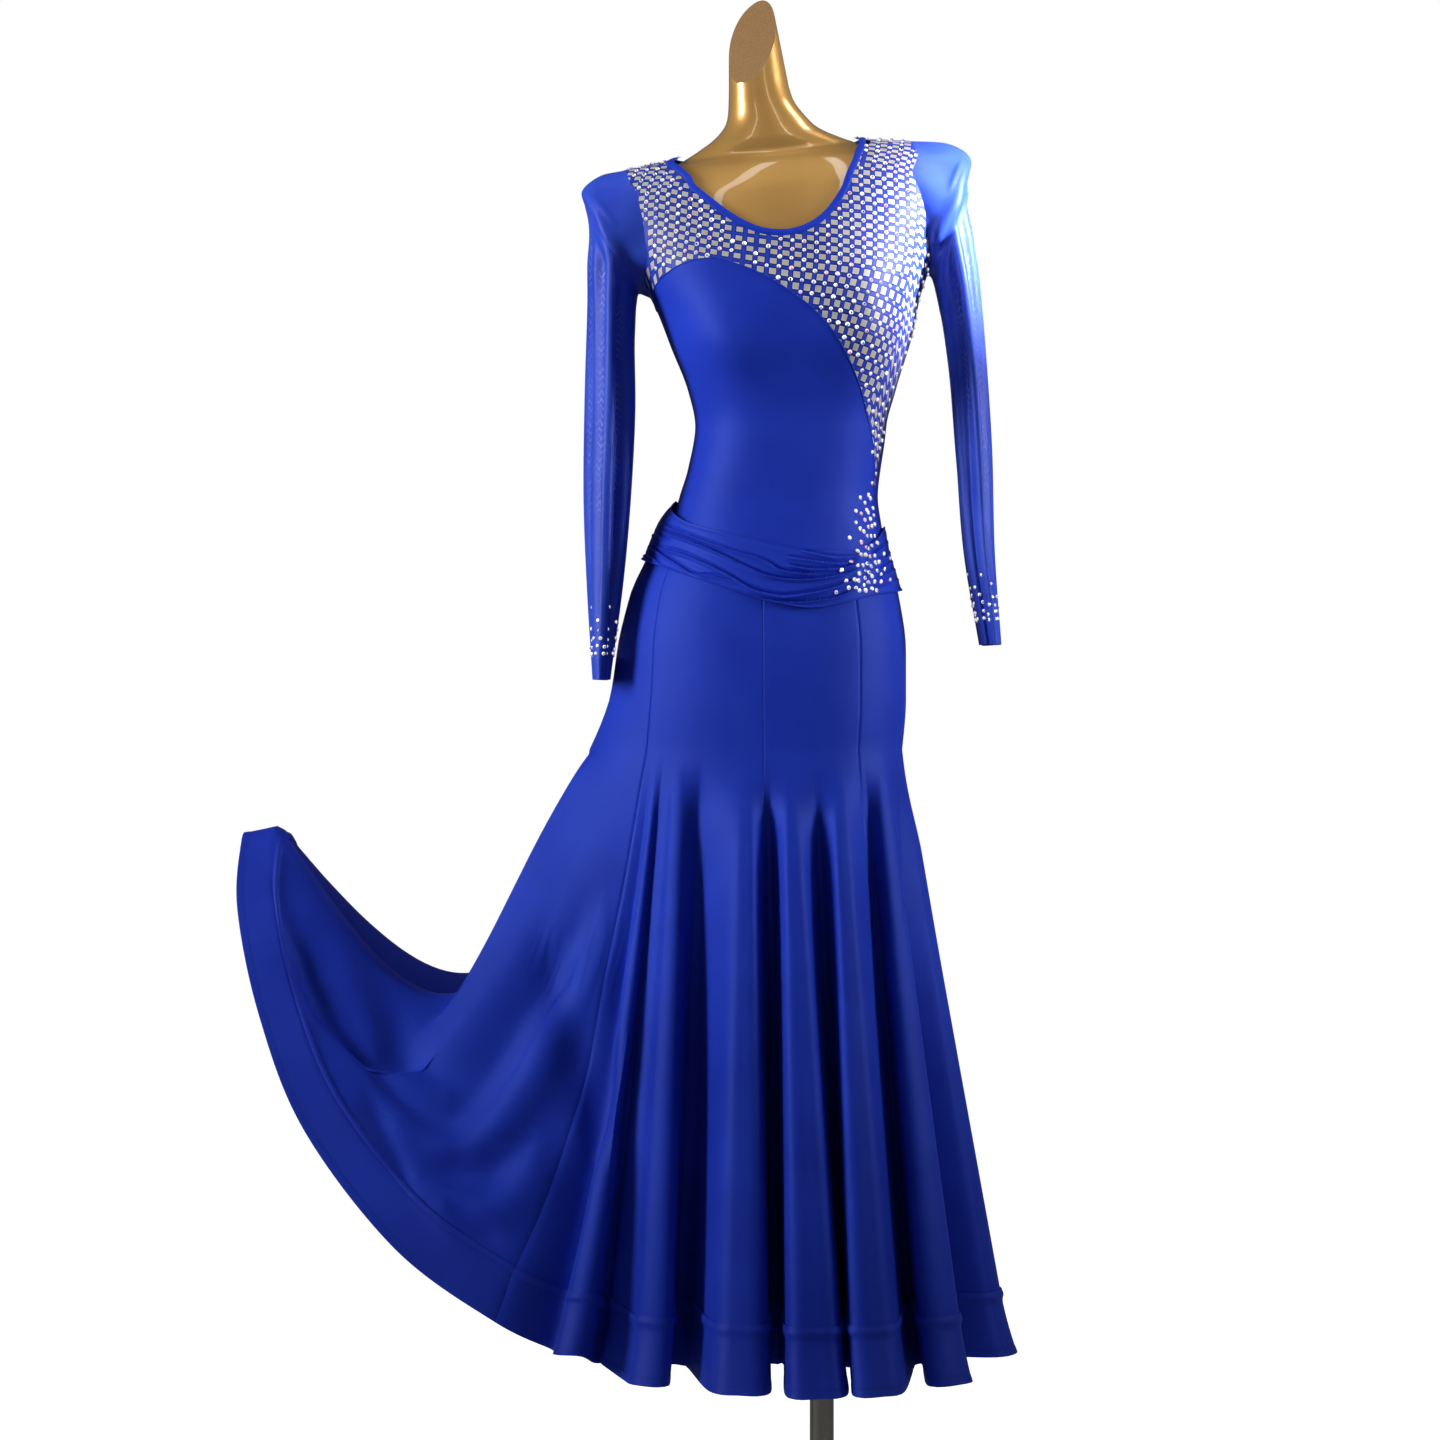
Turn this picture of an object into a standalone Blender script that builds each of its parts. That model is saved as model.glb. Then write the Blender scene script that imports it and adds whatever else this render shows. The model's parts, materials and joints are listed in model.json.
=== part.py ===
"""A floor-length ballroom dance dress standing on a limbless dress form.

Metres, +Z up. The front of the dress faces -Y and +X is the viewer's right. The origin is the centre of the
underside of the stand's base. Bearings are in degrees round the body: 0 is the front, +90 the viewer's right,
180 the back and -90 the viewer's left, where the tip of the skirt is held out on one side.

Every cloth piece is a closed wall between an inner and an outer sheet of points. The bodice, the sash and the
upper skirt lie on one lofted body surface, and the skirt below the hip is ruled from the hip to the hem's plan.
"""

from collections import namedtuple

import bpy
import numpy as np

MM = 0.001

# ---------------------------------------------------------------- driving sizes
SEAM_GAP = 0.3 * MM  # between pieces that are sewn together
CLOTH = 1.2 * MM  # wall of the jersey
MESH_CLOTH = 1.0 * MM  # wall of the sheer sleeves
HIP_Z = 0.848  # where the fitted skirt ends and the flare starts
WAIST_SEAM_Z = 1.065  # bodice to skirt, under the sash
FORM_FOOT_Z = 0.862
HEM_BAND = 0.10  # the band's share of the length from hip to hem
BODY_POWER = 2.2  # 2 is an ellipse, more is squarer
METRES_PER_DEGREE = 0.0022  # round the body, on average

Ring = namedtuple("Ring", "z centre_x half_width front_depth back_depth lean")
BODY = (  # lean is the rise towards +X, because the shoulders stand askew
    Ring(0.840, -0.0538, 0.1418, 0.112, 0.120, 0.000),
    Ring(0.904, -0.0540, 0.1470, 0.114, 0.124, 0.000),
    Ring(0.960, -0.0541, 0.1470, 0.112, 0.120, 0.000),
    Ring(1.016, -0.0550, 0.1406, 0.106, 0.110, 0.000),
    Ring(1.072, -0.0525, 0.1225, 0.096, 0.096, 0.000),
    Ring(1.100, -0.0509, 0.1162, 0.0915, 0.090, 0.000),
    Ring(1.128, -0.0487, 0.1102, 0.088, 0.086, 0.000),
    Ring(1.161, -0.0422, 0.1067, 0.0882, 0.0855, 0.002),
    Ring(1.206, -0.0350, 0.1057, 0.0912, 0.0865, 0.007),
    Ring(1.250, -0.0331, 0.1151, 0.100, 0.092, 0.015),
    Ring(1.305, -0.0346, 0.1341, 0.113, 0.100, 0.030),
    Ring(1.350, -0.0380, 0.1475, 0.112, 0.106, 0.045),
    Ring(1.378, -0.0400, 0.1600, 0.106, 0.108, 0.055),
    Ring(1.430, -0.0440, 0.1870, 0.093, 0.106, 0.070),
    Ring(1.472, -0.0500, 0.2075, 0.079, 0.098, 0.080),
    Ring(1.491, -0.0510, 0.2140, 0.068, 0.090, 0.084),
    Ring(1.5035, -0.0530, 0.1980, 0.059, 0.082, 0.090),
    Ring(1.5105, -0.0550, 0.1600, 0.053, 0.074, 0.098),
    Ring(1.5190, -0.0580, 0.1020, 0.047, 0.062, 0.105),
    Ring(1.5310, -0.0600, 0.0700, 0.044, 0.052, 0.100),
    Ring(1.5480, -0.0610, 0.0490, 0.041, 0.044, 0.070),
    Ring(1.5750, -0.0683, 0.0370, 0.036, 0.037, 0.030),
    Ring(1.5900, -0.0705, 0.0345, 0.034, 0.034, 0.000),
)
Bust = namedtuple("Bust", "bearing z bearing_spread z_spread fullness")
BUSTS = (Bust(-38.0, 1.300, 24.0, 0.050, 0.013), Bust(38.0, 1.310, 24.0, 0.050, 0.013))

FormGap = namedtuple("FormGap", "z gap")  # from the form's skin to the cloth, which spans its hollows
FORM_GAPS = (
    FormGap(0.85, 1.8 * MM),
    FormGap(1.05, 1.8 * MM),
    FormGap(1.12, 3.4 * MM),
    FormGap(1.21, 4.0 * MM),
    FormGap(1.30, 4.0 * MM),
    FormGap(1.38, 3.6 * MM),
    FormGap(1.44, 5.4 * MM),
    FormGap(1.50, 6.5 * MM),
    FormGap(1.516, 6.2 * MM),
    FormGap(1.522, 2.8 * MM),
    FormGap(1.530, 1.2 * MM),
    FormGap(1.60, 0.9 * MM),
)

# Edges of the bodice's panels: points on the body, each given by two of its coordinates. Points with an x and a z
# lie on the front, or on the back for a back edge, and points with an x and a y on top of the shoulder.
EdgePoint = namedtuple("EdgePoint", "x y z")
STYLE_LINE = (
    EdgePoint(-0.175, None, 1.371),
    EdgePoint(-0.147, None, 1.384),
    EdgePoint(-0.119, None, 1.385),
    EdgePoint(-0.081, None, 1.373),
    EdgePoint(-0.038, None, 1.348),
    EdgePoint(-0.005, None, 1.321),
    EdgePoint(0.022, None, 1.284),
    EdgePoint(0.040, None, 1.243),
    EdgePoint(0.051, None, 1.202),
    EdgePoint(0.056, None, 1.160),
)
NECK_FRONT = (
    EdgePoint(-0.1620, 0.000, None),
    EdgePoint(-0.1605, -0.028, None),
    EdgePoint(-0.1544, None, 1.4890),
    EdgePoint(-0.1440, None, 1.4735),
    EdgePoint(-0.1240, None, 1.4550),
    EdgePoint(-0.1035, None, 1.4385),
    EdgePoint(-0.0835, None, 1.4260),
    EdgePoint(-0.0640, None, 1.4190),
    EdgePoint(-0.0435, None, 1.4175),
    EdgePoint(-0.0265, None, 1.4210),
    EdgePoint(-0.0100, None, 1.4295),
    EdgePoint(0.0055, None, 1.4445),
    EdgePoint(0.0190, None, 1.4660),
    EdgePoint(0.0280, None, 1.4895),
    EdgePoint(0.0355, -0.056, None),
    EdgePoint(0.0392, -0.039, None),
    EdgePoint(0.0405, -0.020, None),
    EdgePoint(0.0410, 0.000, None),
)
NECK_BACK = (
    EdgePoint(0.0410, 0.000, None),
    EdgePoint(0.0330, 0.026, None),
    EdgePoint(0.0100, 0.047, None),
    EdgePoint(-0.0300, 0.060, None),
    EdgePoint(-0.0750, 0.064, None),
    EdgePoint(-0.1180, 0.056, None),
    EdgePoint(-0.1500, 0.030, None),
    EdgePoint(-0.1620, 0.000, None),
)
ARMHOLE_LEFT = (  # from the armpit up to the shoulder
    EdgePoint(-0.1940, None, 1.386),
    EdgePoint(-0.1965, None, 1.412),
    EdgePoint(-0.1990, None, 1.436),
    EdgePoint(-0.2045, None, 1.456),
    EdgePoint(-0.2110, None, 1.474),
    EdgePoint(-0.2172, -0.035, None),
    EdgePoint(-0.2205, -0.017, None),
    EdgePoint(-0.2225, 0.000, None),
)
ARMHOLE_RIGHT = (
    EdgePoint(0.1155, None, 1.4130),
    EdgePoint(0.1140, None, 1.4330),
    EdgePoint(0.1095, None, 1.4520),
    EdgePoint(0.1040, None, 1.4720),
    EdgePoint(0.0998, None, 1.4945),
    EdgePoint(0.0980, -0.034, None),
    EdgePoint(0.0975, -0.016, None),
    EdgePoint(0.0975, 0.000, None),
)
Side = namedtuple("Side", "z bearing")
SIDE_LEFT = (Side(1.065, -95.0), Side(1.250, -94.0), Side(1.362, -92.0))  # from the waist up to the armpit
SIDE_RIGHT = (Side(1.065, 70.0), Side(1.128, 70.0), Side(1.250, 79.0), Side(1.378, 87.0))
STYLE_FOOT_Z = 1.346  # where the style line starts on the left side seam
STYLE_TAIL_Z = 1.128  # and where it ends on the right one
BINDING_WIDTH = 8 * MM
BINDING_THICK = 2.4 * MM

# Sleeves: each row is one section, by its outer and inner point in front view. half_depth is along Y.
Section = namedtuple("Section", "outer_x outer_z inner_x inner_z half_depth centre_y")
SLEEVE_LEFT = (
    Section(-0.2465, 1.4860, -0.2040, 1.360, 0.067, 0.008),
    Section(-0.2672, 1.4735, -0.2070, 1.357, 0.066, 0.007),
    Section(-0.2640, 1.4555, -0.2080, 1.350, 0.060, 0.005),
    Section(-0.2580, 1.4280, -0.2090, 1.341, 0.057, 0.003),
    Section(-0.2600, 1.3900, -0.2100, 1.322, 0.053, 0.000),
    Section(-0.2592, 1.3400, -0.2110, 1.295, 0.051, -0.002),
    Section(-0.261, 1.240, -0.210, 1.222, 0.047, -0.006),
    Section(-0.262, 1.130, -0.214, 1.125, 0.045, -0.012),
    Section(-0.259, 1.030, -0.222, 1.030, 0.042, -0.016),
    Section(-0.254, 0.926, -0.236, 0.926, 0.040, -0.020),
)
SLEEVE_RIGHT = (
    Section(0.1390, 1.5170, 0.1200, 1.382, 0.068, 0.008),
    Section(0.1648, 1.5105, 0.1240, 1.378, 0.066, 0.007),
    Section(0.1628, 1.4880, 0.1270, 1.368, 0.060, 0.005),
    Section(0.1590, 1.4650, 0.1290, 1.358, 0.057, 0.004),
    Section(0.1665, 1.4240, 0.1320, 1.342, 0.054, 0.002),
    Section(0.1740, 1.3650, 0.1370, 1.316, 0.051, 0.000),
    Section(0.181, 1.280, 0.144, 1.258, 0.047, -0.002),
    Section(0.187, 1.180, 0.150, 1.170, 0.045, -0.005),
    Section(0.190, 1.070, 0.159, 1.068, 0.042, -0.008),
    Section(0.198, 0.965, 0.177, 0.965, 0.040, -0.010),
)
SLEEVE_FOLD = 0.14  # share of its reach that each lengthwise fold takes in
SLEEVE_FOLDS = 5

# Sash: its lower and upper edge by bearing.
SashRow = namedtuple("SashRow", "bearing low top")
SASH = (
    SashRow(-98, 1.0600, 1.1245),
    SashRow(-80, 1.0560, 1.1155),
    SashRow(-62, 1.0500, 1.1055),
    SashRow(-48, 1.0430, 1.0965),
    SashRow(-33, 1.0335, 1.0890),
    SashRow(-19, 1.0225, 1.0820),
    SashRow(0, 1.0085, 1.0730),
    SashRow(15, 1.0028, 1.0675),
    SashRow(35, 1.0105, 1.0680),
    SashRow(50, 1.0180, 1.0730),
    SashRow(85, 1.0245, 1.0965),
    SashRow(130, 1.032, 1.096),
    SashRow(180, 1.036, 1.100),
    SashRow(230, 1.050, 1.115),
    SashRow(262, 1.0600, 1.1245),
)
SASH_JOIN = 35.0  # bearing of the gather where the front stretch meets the back one
SASH_PLEATS = 7
SASH_CLEAR = 2.0 * MM  # over the bodice and the gores
PLEAT_HEIGHT = 2.6 * MM

# Skirt: how far the cloth is drawn out at the left hip by the held tip, by height.
Pull = namedtuple("Pull", "z reach")
HIP_PULL = (
    Pull(0.848, 0.0636),
    Pull(0.876, 0.0480),
    Pull(0.904, 0.0366),
    Pull(0.960, 0.0276),
    Pull(1.016, 0.0200),
    Pull(1.044, 0.0180),
    Pull(1.072, 0.0160),
    Pull(1.100, 0.0115),
    Pull(1.124, 0.0000),
)
PULL_BEARING = -98.0
PULL_SPREAD = 40.0

Gore = namedtuple("Gore", "start columns")  # bearing of its first seam, and faces round it
GORES = (
    Gore(-98.0, 8),
    Gore(-55.0, 18),
    Gore(-5.0, 16),
    Gore(38.0, 14),
    Gore(82.0, 14),
    Gore(130.0, 14),
    Gore(176.0, 14),
    Gore(217.0, 9),
)
FLARE_DROPS = (0.0, 0.06, 0.14, 0.23, 0.33, 0.43, 0.53, 0.63, 0.73, 0.82, 0.90)  # rows of faces from hip to band
FOLD_START = 0.34  # the flutes open gently over this share of the length, and run straight below it

# Hem in plan: each row is a crest (width over 0) or a valley (width under 0) of the flutes, or a plain point, with
# its bearing at the hip, the place of the hem's edge, how far that line of cloth sags, where (a skew under 1 sags
# nearer the hip) and how far it bows sideways.
HemPoint = namedtuple("HemPoint", "bearing x y z width sag skew bow")
HEM = (
    HemPoint(-98.0, -0.638, 0.012, 0.752, 0.000, 0.240, 0.78, 0.005),
    HemPoint(-92.0, -0.641, -0.022, 0.744, 0.000, 0.233, 0.80, -0.030),
    HemPoint(-85.0, -0.642, -0.048, 0.672, 0.000, 0.244, 1.34, -0.034),
    HemPoint(-78.0, -0.614, -0.078, 0.556, 0.000, 0.192, 1.12, -0.028),
    HemPoint(-70.0, -0.561, -0.110, 0.434, 0.000, 0.155, 1.00, -0.018),
    HemPoint(-62.0, -0.459, -0.145, 0.310, 0.000, 0.118, 1.00, -0.008),
    HemPoint(-55.0, -0.350, -0.172, 0.236, 0.000, 0.088, 1.00, 0.000),
    HemPoint(-51.0, -0.285, -0.188, 0.204, 0.050, 0.045, 1.00, 0.000),
    HemPoint(-47.0, -0.236, -0.150, 0.188, -0.018, 0.010, 1.00, 0.000),
    HemPoint(-42.0, -0.199, -0.212, 0.176, 0.054, 0.000, 1.00, 0.000),
    HemPoint(-30.0, -0.149, -0.120, 0.180, -0.030, 0.000, 1.00, 0.000),
    HemPoint(-13.0, -0.0955, -0.268, 0.176, 0.060, 0.000, 1.00, 0.000),
    HemPoint(-3.0, -0.053, -0.110, 0.180, -0.020, 0.000, 1.00, 0.000),
    HemPoint(6.0, -0.0110, -0.282, 0.175, 0.060, 0.000, 1.00, 0.000),
    HemPoint(17.0, 0.0215, -0.130, 0.180, -0.014, 0.000, 1.00, 0.000),
    HemPoint(28.0, 0.0560, -0.274, 0.176, 0.054, 0.000, 1.00, 0.000),
    HemPoint(40.0, 0.092, -0.118, 0.180, -0.020, 0.000, 1.00, 0.000),
    HemPoint(52.0, 0.138, -0.208, 0.176, 0.058, 0.000, 1.00, 0.000),
    HemPoint(68.0, 0.105, -0.070, 0.180, -0.026, 0.000, 1.00, 0.000),
    HemPoint(86.0, 0.209, -0.030, 0.178, 0.066, 0.000, 1.00, 0.000),
    HemPoint(99.0, 0.110, 0.045, 0.180, -0.026, 0.000, 1.00, 0.000),
    HemPoint(112.0, 0.190, 0.120, 0.178, 0.066, 0.000, 1.00, 0.000),
    HemPoint(124.0, 0.070, 0.110, 0.180, -0.026, 0.000, 1.00, 0.000),
    HemPoint(136.0, 0.110, 0.225, 0.178, 0.066, 0.000, 1.00, 0.000),
    HemPoint(147.0, 0.015, 0.135, 0.180, -0.024, 0.000, 1.00, 0.000),
    HemPoint(158.0, 0.005, 0.280, 0.178, 0.066, 0.000, 1.00, 0.000),
    HemPoint(170.0, -0.050, 0.145, 0.180, -0.022, 0.000, 1.00, 0.000),
    HemPoint(182.0, -0.105, 0.285, 0.178, 0.066, 0.000, 1.00, 0.000),
    HemPoint(193.0, -0.145, 0.150, 0.184, -0.024, 0.005, 1.00, 0.000),
    HemPoint(205.0, -0.218, 0.272, 0.190, 0.064, 0.020, 1.00, 0.000),
    HemPoint(213.0, -0.275, 0.195, 0.212, -0.030, 0.050, 1.00, 0.000),
    HemPoint(222.0, -0.370, 0.245, 0.265, 0.000, 0.090, 1.00, 0.006),
    HemPoint(232.0, -0.480, 0.205, 0.375, 0.000, 0.140, 0.90, 0.018),
    HemPoint(242.0, -0.570, 0.150, 0.500, 0.000, 0.168, 0.80, 0.030),
    HemPoint(250.0, -0.618, 0.098, 0.630, 0.000, 0.192, 0.70, 0.042),
    HemPoint(256.0, -0.633, 0.050, 0.732, 0.000, 0.214, 0.71, 0.048),
)
HEM_CENTRE = (-0.05, 0.0)
ARCH_END = 0.92  # share of the length from hip to hem that sags, above the stiff band
HEM_FLARE = 6.0 * MM  # how far the stiff hem stands out below its band's top
BandRow = namedtuple("BandRow", "below wall")  # share of the length below the band's top, and the wall there
BAND_ROWS = (BandRow(0.0011, 3.0 * MM), BandRow(0.016, 1.8 * MM), BandRow(0.05, 1.6 * MM), BandRow(0.10, 1.8 * MM))

# Creases of the held-out side: soft troughs in the cloth, from one place to another.
Crease = namedtuple("Crease", "bearing_from drop_from bearing_to drop_to spread depth")
CREASES = (
    Crease(-91.0, 0.55, -66.0, 0.52, 0.050, -0.010),
    Crease(-86.0, 0.70, -60.0, 0.62, 0.050, -0.009),
    Crease(256.0, 0.55, 236.0, 0.52, 0.050, -0.008),
)

# Stand
POLE_RADIUS = 13.5 * MM
BASE_RADIUS = 0.165
BASE_THICK = 0.012
COLLAR_RADIUS = 0.030
COLLAR_HEIGHT = 0.045
NECK_CUT_LOW = 1.588  # the neck's slanted cut, lowest at the front left, and how steeply it rises
NECK_CUT_RISE = (0.95, 1.60)
NECK_EDGE = (-0.1050, 0.010)  # the upright edge, in plan, that the neck narrows towards
NECK_TAPER = 2.9  # share of its width that the neck loses for each metre of height

# Faces along each piece
BODICE_COLUMNS = 24
BACK_COLUMNS = 18
FRONT_ROWS = 8
SHOULDER_COLUMNS = (4, 5)  # left and right
SeamRows = namedtuple("SeamRows", "low high armhole back_armhole")  # below the style line's end, above it, armhole
LEFT_ROWS = SeamRows(5, 3, 12, 8)
RIGHT_ROWS = SeamRows(2, 5, 10, 9)
SASH_COLUMNS = {"front": 10, "back": 12}
FIT_ROWS = 3
FORM_COLUMNS = 28
FORM_ROWS = 28
Finish = namedtuple("Finish", "name colour roughness metallic alpha")
BLUE = Finish("blue_jersey", (0.012, 0.035, 0.42, 1.0), 0.42, 0.0, 1.0)
BINDING_BLUE = Finish("blue_binding", (0.03, 0.08, 0.60, 1.0), 0.40, 0.0, 1.0)
CHECK = Finish("blue_and_champagne_check", (0.30, 0.30, 0.42, 1.0), 0.40, 0.0, 1.0)
SHEER = Finish("sheer_blue_mesh", (0.02, 0.05, 0.42, 1.0), 0.50, 0.0, 0.6)
GOLD = Finish("gold_form", (0.62, 0.40, 0.10, 1.0), 0.22, 0.6, 1.0)
STEEL = Finish("satin_steel", (0.55, 0.56, 0.58, 1.0), 0.32, 1.0, 1.0)


# ---------------------------------------------------------------- numbers to surfaces
def column(rows, name):
    """One named column of a table, as an array."""
    return np.array([getattr(row, name) for row in rows], dtype=float)


def smooth(xs, ys, x):
    """A curve through the points that never overshoots them (monotone cubic), evaluated at x."""
    xs, ys = np.asarray(xs, float), np.asarray(ys, float)
    step, slope = np.diff(xs), np.diff(ys) / np.diff(xs)
    tangent = np.zeros_like(ys)
    both = slope[:-1] * slope[1:] > 0
    weight = (2 * step[1:] + step[:-1], step[1:] + 2 * step[:-1])
    with np.errstate(divide="ignore", invalid="ignore"):
        mean = (weight[0] + weight[1]) / (weight[0] / slope[:-1] + weight[1] / slope[1:])
    tangent[1:-1] = np.where(both, mean, 0.0)
    tangent[0], tangent[-1] = slope[0], slope[-1]
    x = np.clip(x, xs[0], xs[-1])
    i = np.clip(np.searchsorted(xs, x, side="right") - 1, 0, len(step) - 1)
    f = (x - xs[i]) / step[i]
    return (
        (1 + 2 * f) * (1 - f) ** 2 * ys[i]
        + f * (1 - f) ** 2 * step[i] * tangent[i]
        + f * f * (3 - 2 * f) * ys[i + 1]
        + f * f * (f - 1) * step[i] * tangent[i + 1]
    )


def spline(points, samples, closed=False):
    """A Catmull-Rom curve through the points, sampled densely: an array of samples for each span."""
    pts = np.asarray(points, float)
    before = np.roll(pts, 1, axis=0) if closed else np.vstack([2 * pts[:1] - pts[1:2], pts[:-1]])
    after = np.roll(pts, -1, axis=0) if closed else np.vstack([pts[1:], 2 * pts[-1:] - pts[-2:-1]])
    tangent = (after - before) / 2
    spans = len(pts) if closed else len(pts) - 1
    i = np.arange(spans)[:, None, None]
    j = (i + 1) % len(pts)
    f = (np.arange(samples) / samples)[None, :, None]
    run = (
        (1 + 2 * f) * (1 - f) ** 2 * pts[i]
        + f * (1 - f) ** 2 * tangent[i]
        + f * f * (3 - 2 * f) * pts[j]
        + f * f * (f - 1) * tangent[j]
    ).reshape(-1, pts.shape[1])
    return run if closed else np.vstack([run, pts[-1:]])


def lengths(points):
    """Distance along a run of points, from its first."""
    return np.concatenate([[0.0], np.cumsum(np.linalg.norm(np.diff(points, axis=0), axis=1))])


def unit(vectors):
    return vectors / np.maximum(np.linalg.norm(vectors, axis=-1, keepdims=True), 1e-12)


class Body:
    """The lofted surface that the close-fitting pieces lie on, by bearing in degrees and by climb up its side."""

    def __init__(self, rings, busts):
        self.rings, self.busts = rings, busts
        side = np.stack([column(rings, "half_width"), column(rings, "z")], axis=1)
        self.climbs = lengths(side)
        self.dense = np.linspace(0.0, self.climbs[-1], 4000)

    @staticmethod
    def squareness(angle):
        return (np.abs(np.sin(angle)) ** BODY_POWER + np.abs(np.cos(angle)) ** BODY_POWER) ** (-1 / BODY_POWER)

    def value(self, name, climb):
        return smooth(self.climbs, column(self.rings, name), climb)

    def climb_at(self, z):
        """The climb where the surface's centre has this height."""
        return np.interp(z, self.value("z", self.dense), self.dense)

    def point(self, bearing, climb):
        bearing, climb = np.broadcast_arrays(np.asarray(bearing, float), np.asarray(climb, float))
        angle = np.radians(bearing)
        k = self.squareness(angle)
        across = self.value("half_width", climb) * k * np.sin(angle)
        depth = np.where(np.cos(angle) > 0, self.value("front_depth", climb), self.value("back_depth", climb))
        y = -depth * k * np.cos(angle)
        z = self.value("z", climb) + self.value("lean", climb) * across
        for bust in self.busts:
            turn = (bearing - bust.bearing + 180.0) % 360.0 - 180.0
            y = y - bust.fullness * np.exp(-((turn / bust.bearing_spread) ** 2) - ((z - bust.z) / bust.z_spread) ** 2)
        return np.stack([self.value("centre_x", climb) + across, y, z], axis=-1)

    def normal(self, bearing, climb):
        around = self.point(np.add(bearing, 0.4), climb) - self.point(np.subtract(bearing, 0.4), climb)
        up = self.point(bearing, np.add(climb, 0.001)) - self.point(bearing, np.subtract(climb, 0.001))
        return unit(np.cross(around, up))

    def place(self, edge_point, back=False):
        """(bearing, climb) of an edge point: on the front of the body, on its back, or on top of the shoulder."""
        on_top = edge_point.z is None
        widest = self.climbs[np.argmax(column(self.rings, "half_width"))]
        climbs = np.linspace(widest, self.climbs[-1], 240) if on_top else np.linspace(0.0, widest + 0.02, 240)
        bearing, climb = np.meshgrid((90.0 if back else -90.0) + np.linspace(0.0, 180.0, 91), climbs)
        known = [0, 1] if on_top else [0, 2]
        depth = edge_point.y if not back or not on_top else abs(edge_point.y)
        target = np.array([edge_point.x, depth if on_top else edge_point.z])

        def miss(at_bearing, at_climb):
            return self.point(at_bearing, at_climb)[..., known] - target

        nearest = (miss(bearing, climb) ** 2).sum(axis=-1).argmin()
        place = np.array([bearing.flat[nearest], climb.flat[nearest]])
        nudge = np.array([0.05, 1e-4])
        for _ in range(8):
            here = miss(*place)
            slopes = [(miss(*(place + nudge * axis)) - here) / nudge.sum(where=axis > 0) for axis in np.eye(2)]
            step = np.linalg.lstsq(np.stack(slopes, axis=1), -here, rcond=None)[0]
            place += np.clip(step, [-3.0, -0.004], [3.0, 0.004])
        return place

    def path(self, edge, count, back=False, start=None, end=None):
        """count + 1 evenly spaced (bearing, climb) places along a smooth edge, between two given places if any."""
        places = [self.place(point, back) for point in edge]
        places = ([] if start is None else [start]) + places + ([] if end is None else [end])
        return self.evenly(spline(places, 24), count)

    def evenly(self, run, count):
        along = lengths(self.point(run[:, 0], run[:, 1]))
        at = np.linspace(0.0, along[-1], count + 1)
        return np.stack([np.interp(at, along, run[:, k]) for k in (0, 1)], axis=1)

    def shifted(self, run, distance):
        """A path moved sideways along the surface, to the left of its own direction for distance over 0."""
        bearing, climb = run[:, 0], run[:, 1]
        per_bearing = self.point(bearing + 0.5, climb) - self.point(bearing - 0.5, climb)
        per_climb = (self.point(bearing, climb + 5e-4) - self.point(bearing, climb - 5e-4)) / 1e-3
        slopes = np.stack([per_bearing, per_climb], axis=-1)
        ahead = (slopes @ np.gradient(run, axis=0)[..., None])[..., 0]
        aside = unit(np.cross(self.normal(bearing, climb), ahead))
        return run + distance * (np.linalg.pinv(slopes) @ aside[..., None])[..., 0]


def fill(bottom, top, left, right):
    """Coons patch: a grid of places between four edges that share their corners."""
    u = np.linspace(0.0, 1.0, len(bottom))[None, :, None]
    v = np.linspace(0.0, 1.0, len(left))[:, None, None]
    ruled = (1 - v) * bottom[None] + v * top[None] + (1 - u) * left[:, None] + u * right[:, None]
    corners = (
        (1 - u) * (1 - v) * bottom[0] + u * (1 - v) * bottom[-1] + (1 - u) * v * top[0] + u * v * top[-1]
    )
    return relaxed(ruled - corners)


def relaxed(grid, passes=400):
    """Winslow's smoothing: spreads a grid out inside its fixed edges, so that none of its faces folds over."""
    scale = np.array([METRES_PER_DEGREE, 1.0])
    grid = grid * scale
    for _ in range(passes):
        along, up = (grid[1:-1, 2:] - grid[1:-1, :-2]) / 2, (grid[2:, 1:-1] - grid[:-2, 1:-1]) / 2
        twist = (grid[2:, 2:] - grid[2:, :-2] - grid[:-2, 2:] + grid[:-2, :-2]) / 4
        a, b, c = ((p * q).sum(axis=-1, keepdims=True) for p, q in ((up, up), (along, up), (along, along)))
        level, upright = grid[1:-1, 2:] + grid[1:-1, :-2], grid[2:, 1:-1] + grid[:-2, 1:-1]
        grid[1:-1, 1:-1] = (a * level + c * upright - 2 * b * twist) / (2 * (a + c))
    return grid / scale


def inset(grid, gap, sides=("bottom", "top", "left", "right")):
    """Draws the edges of a grid of points in by gap, so that the neighbour across a seam is not touched."""
    grid = grid.copy()
    edges = {"bottom": (0, 1), "top": (-1, -2)}
    for side in sides:
        if side in edges:
            edge, inner = edges[side]
            grid[edge] += unit(grid[inner] - grid[edge]) * gap
    edges = {"left": (0, 1), "right": (-1, -2)}
    for side in sides:
        if side in edges:
            edge, inner = edges[side]
            grid[:, edge] += unit(grid[:, inner] - grid[:, edge]) * gap
    return grid


# ---------------------------------------------------------------- Blender objects
def start_collection(name):
    for obj in list(bpy.data.objects):
        bpy.data.objects.remove(obj, do_unlink=True)
    collection = bpy.data.collections.new(name)
    bpy.context.scene.collection.children.link(collection)
    return collection


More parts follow.
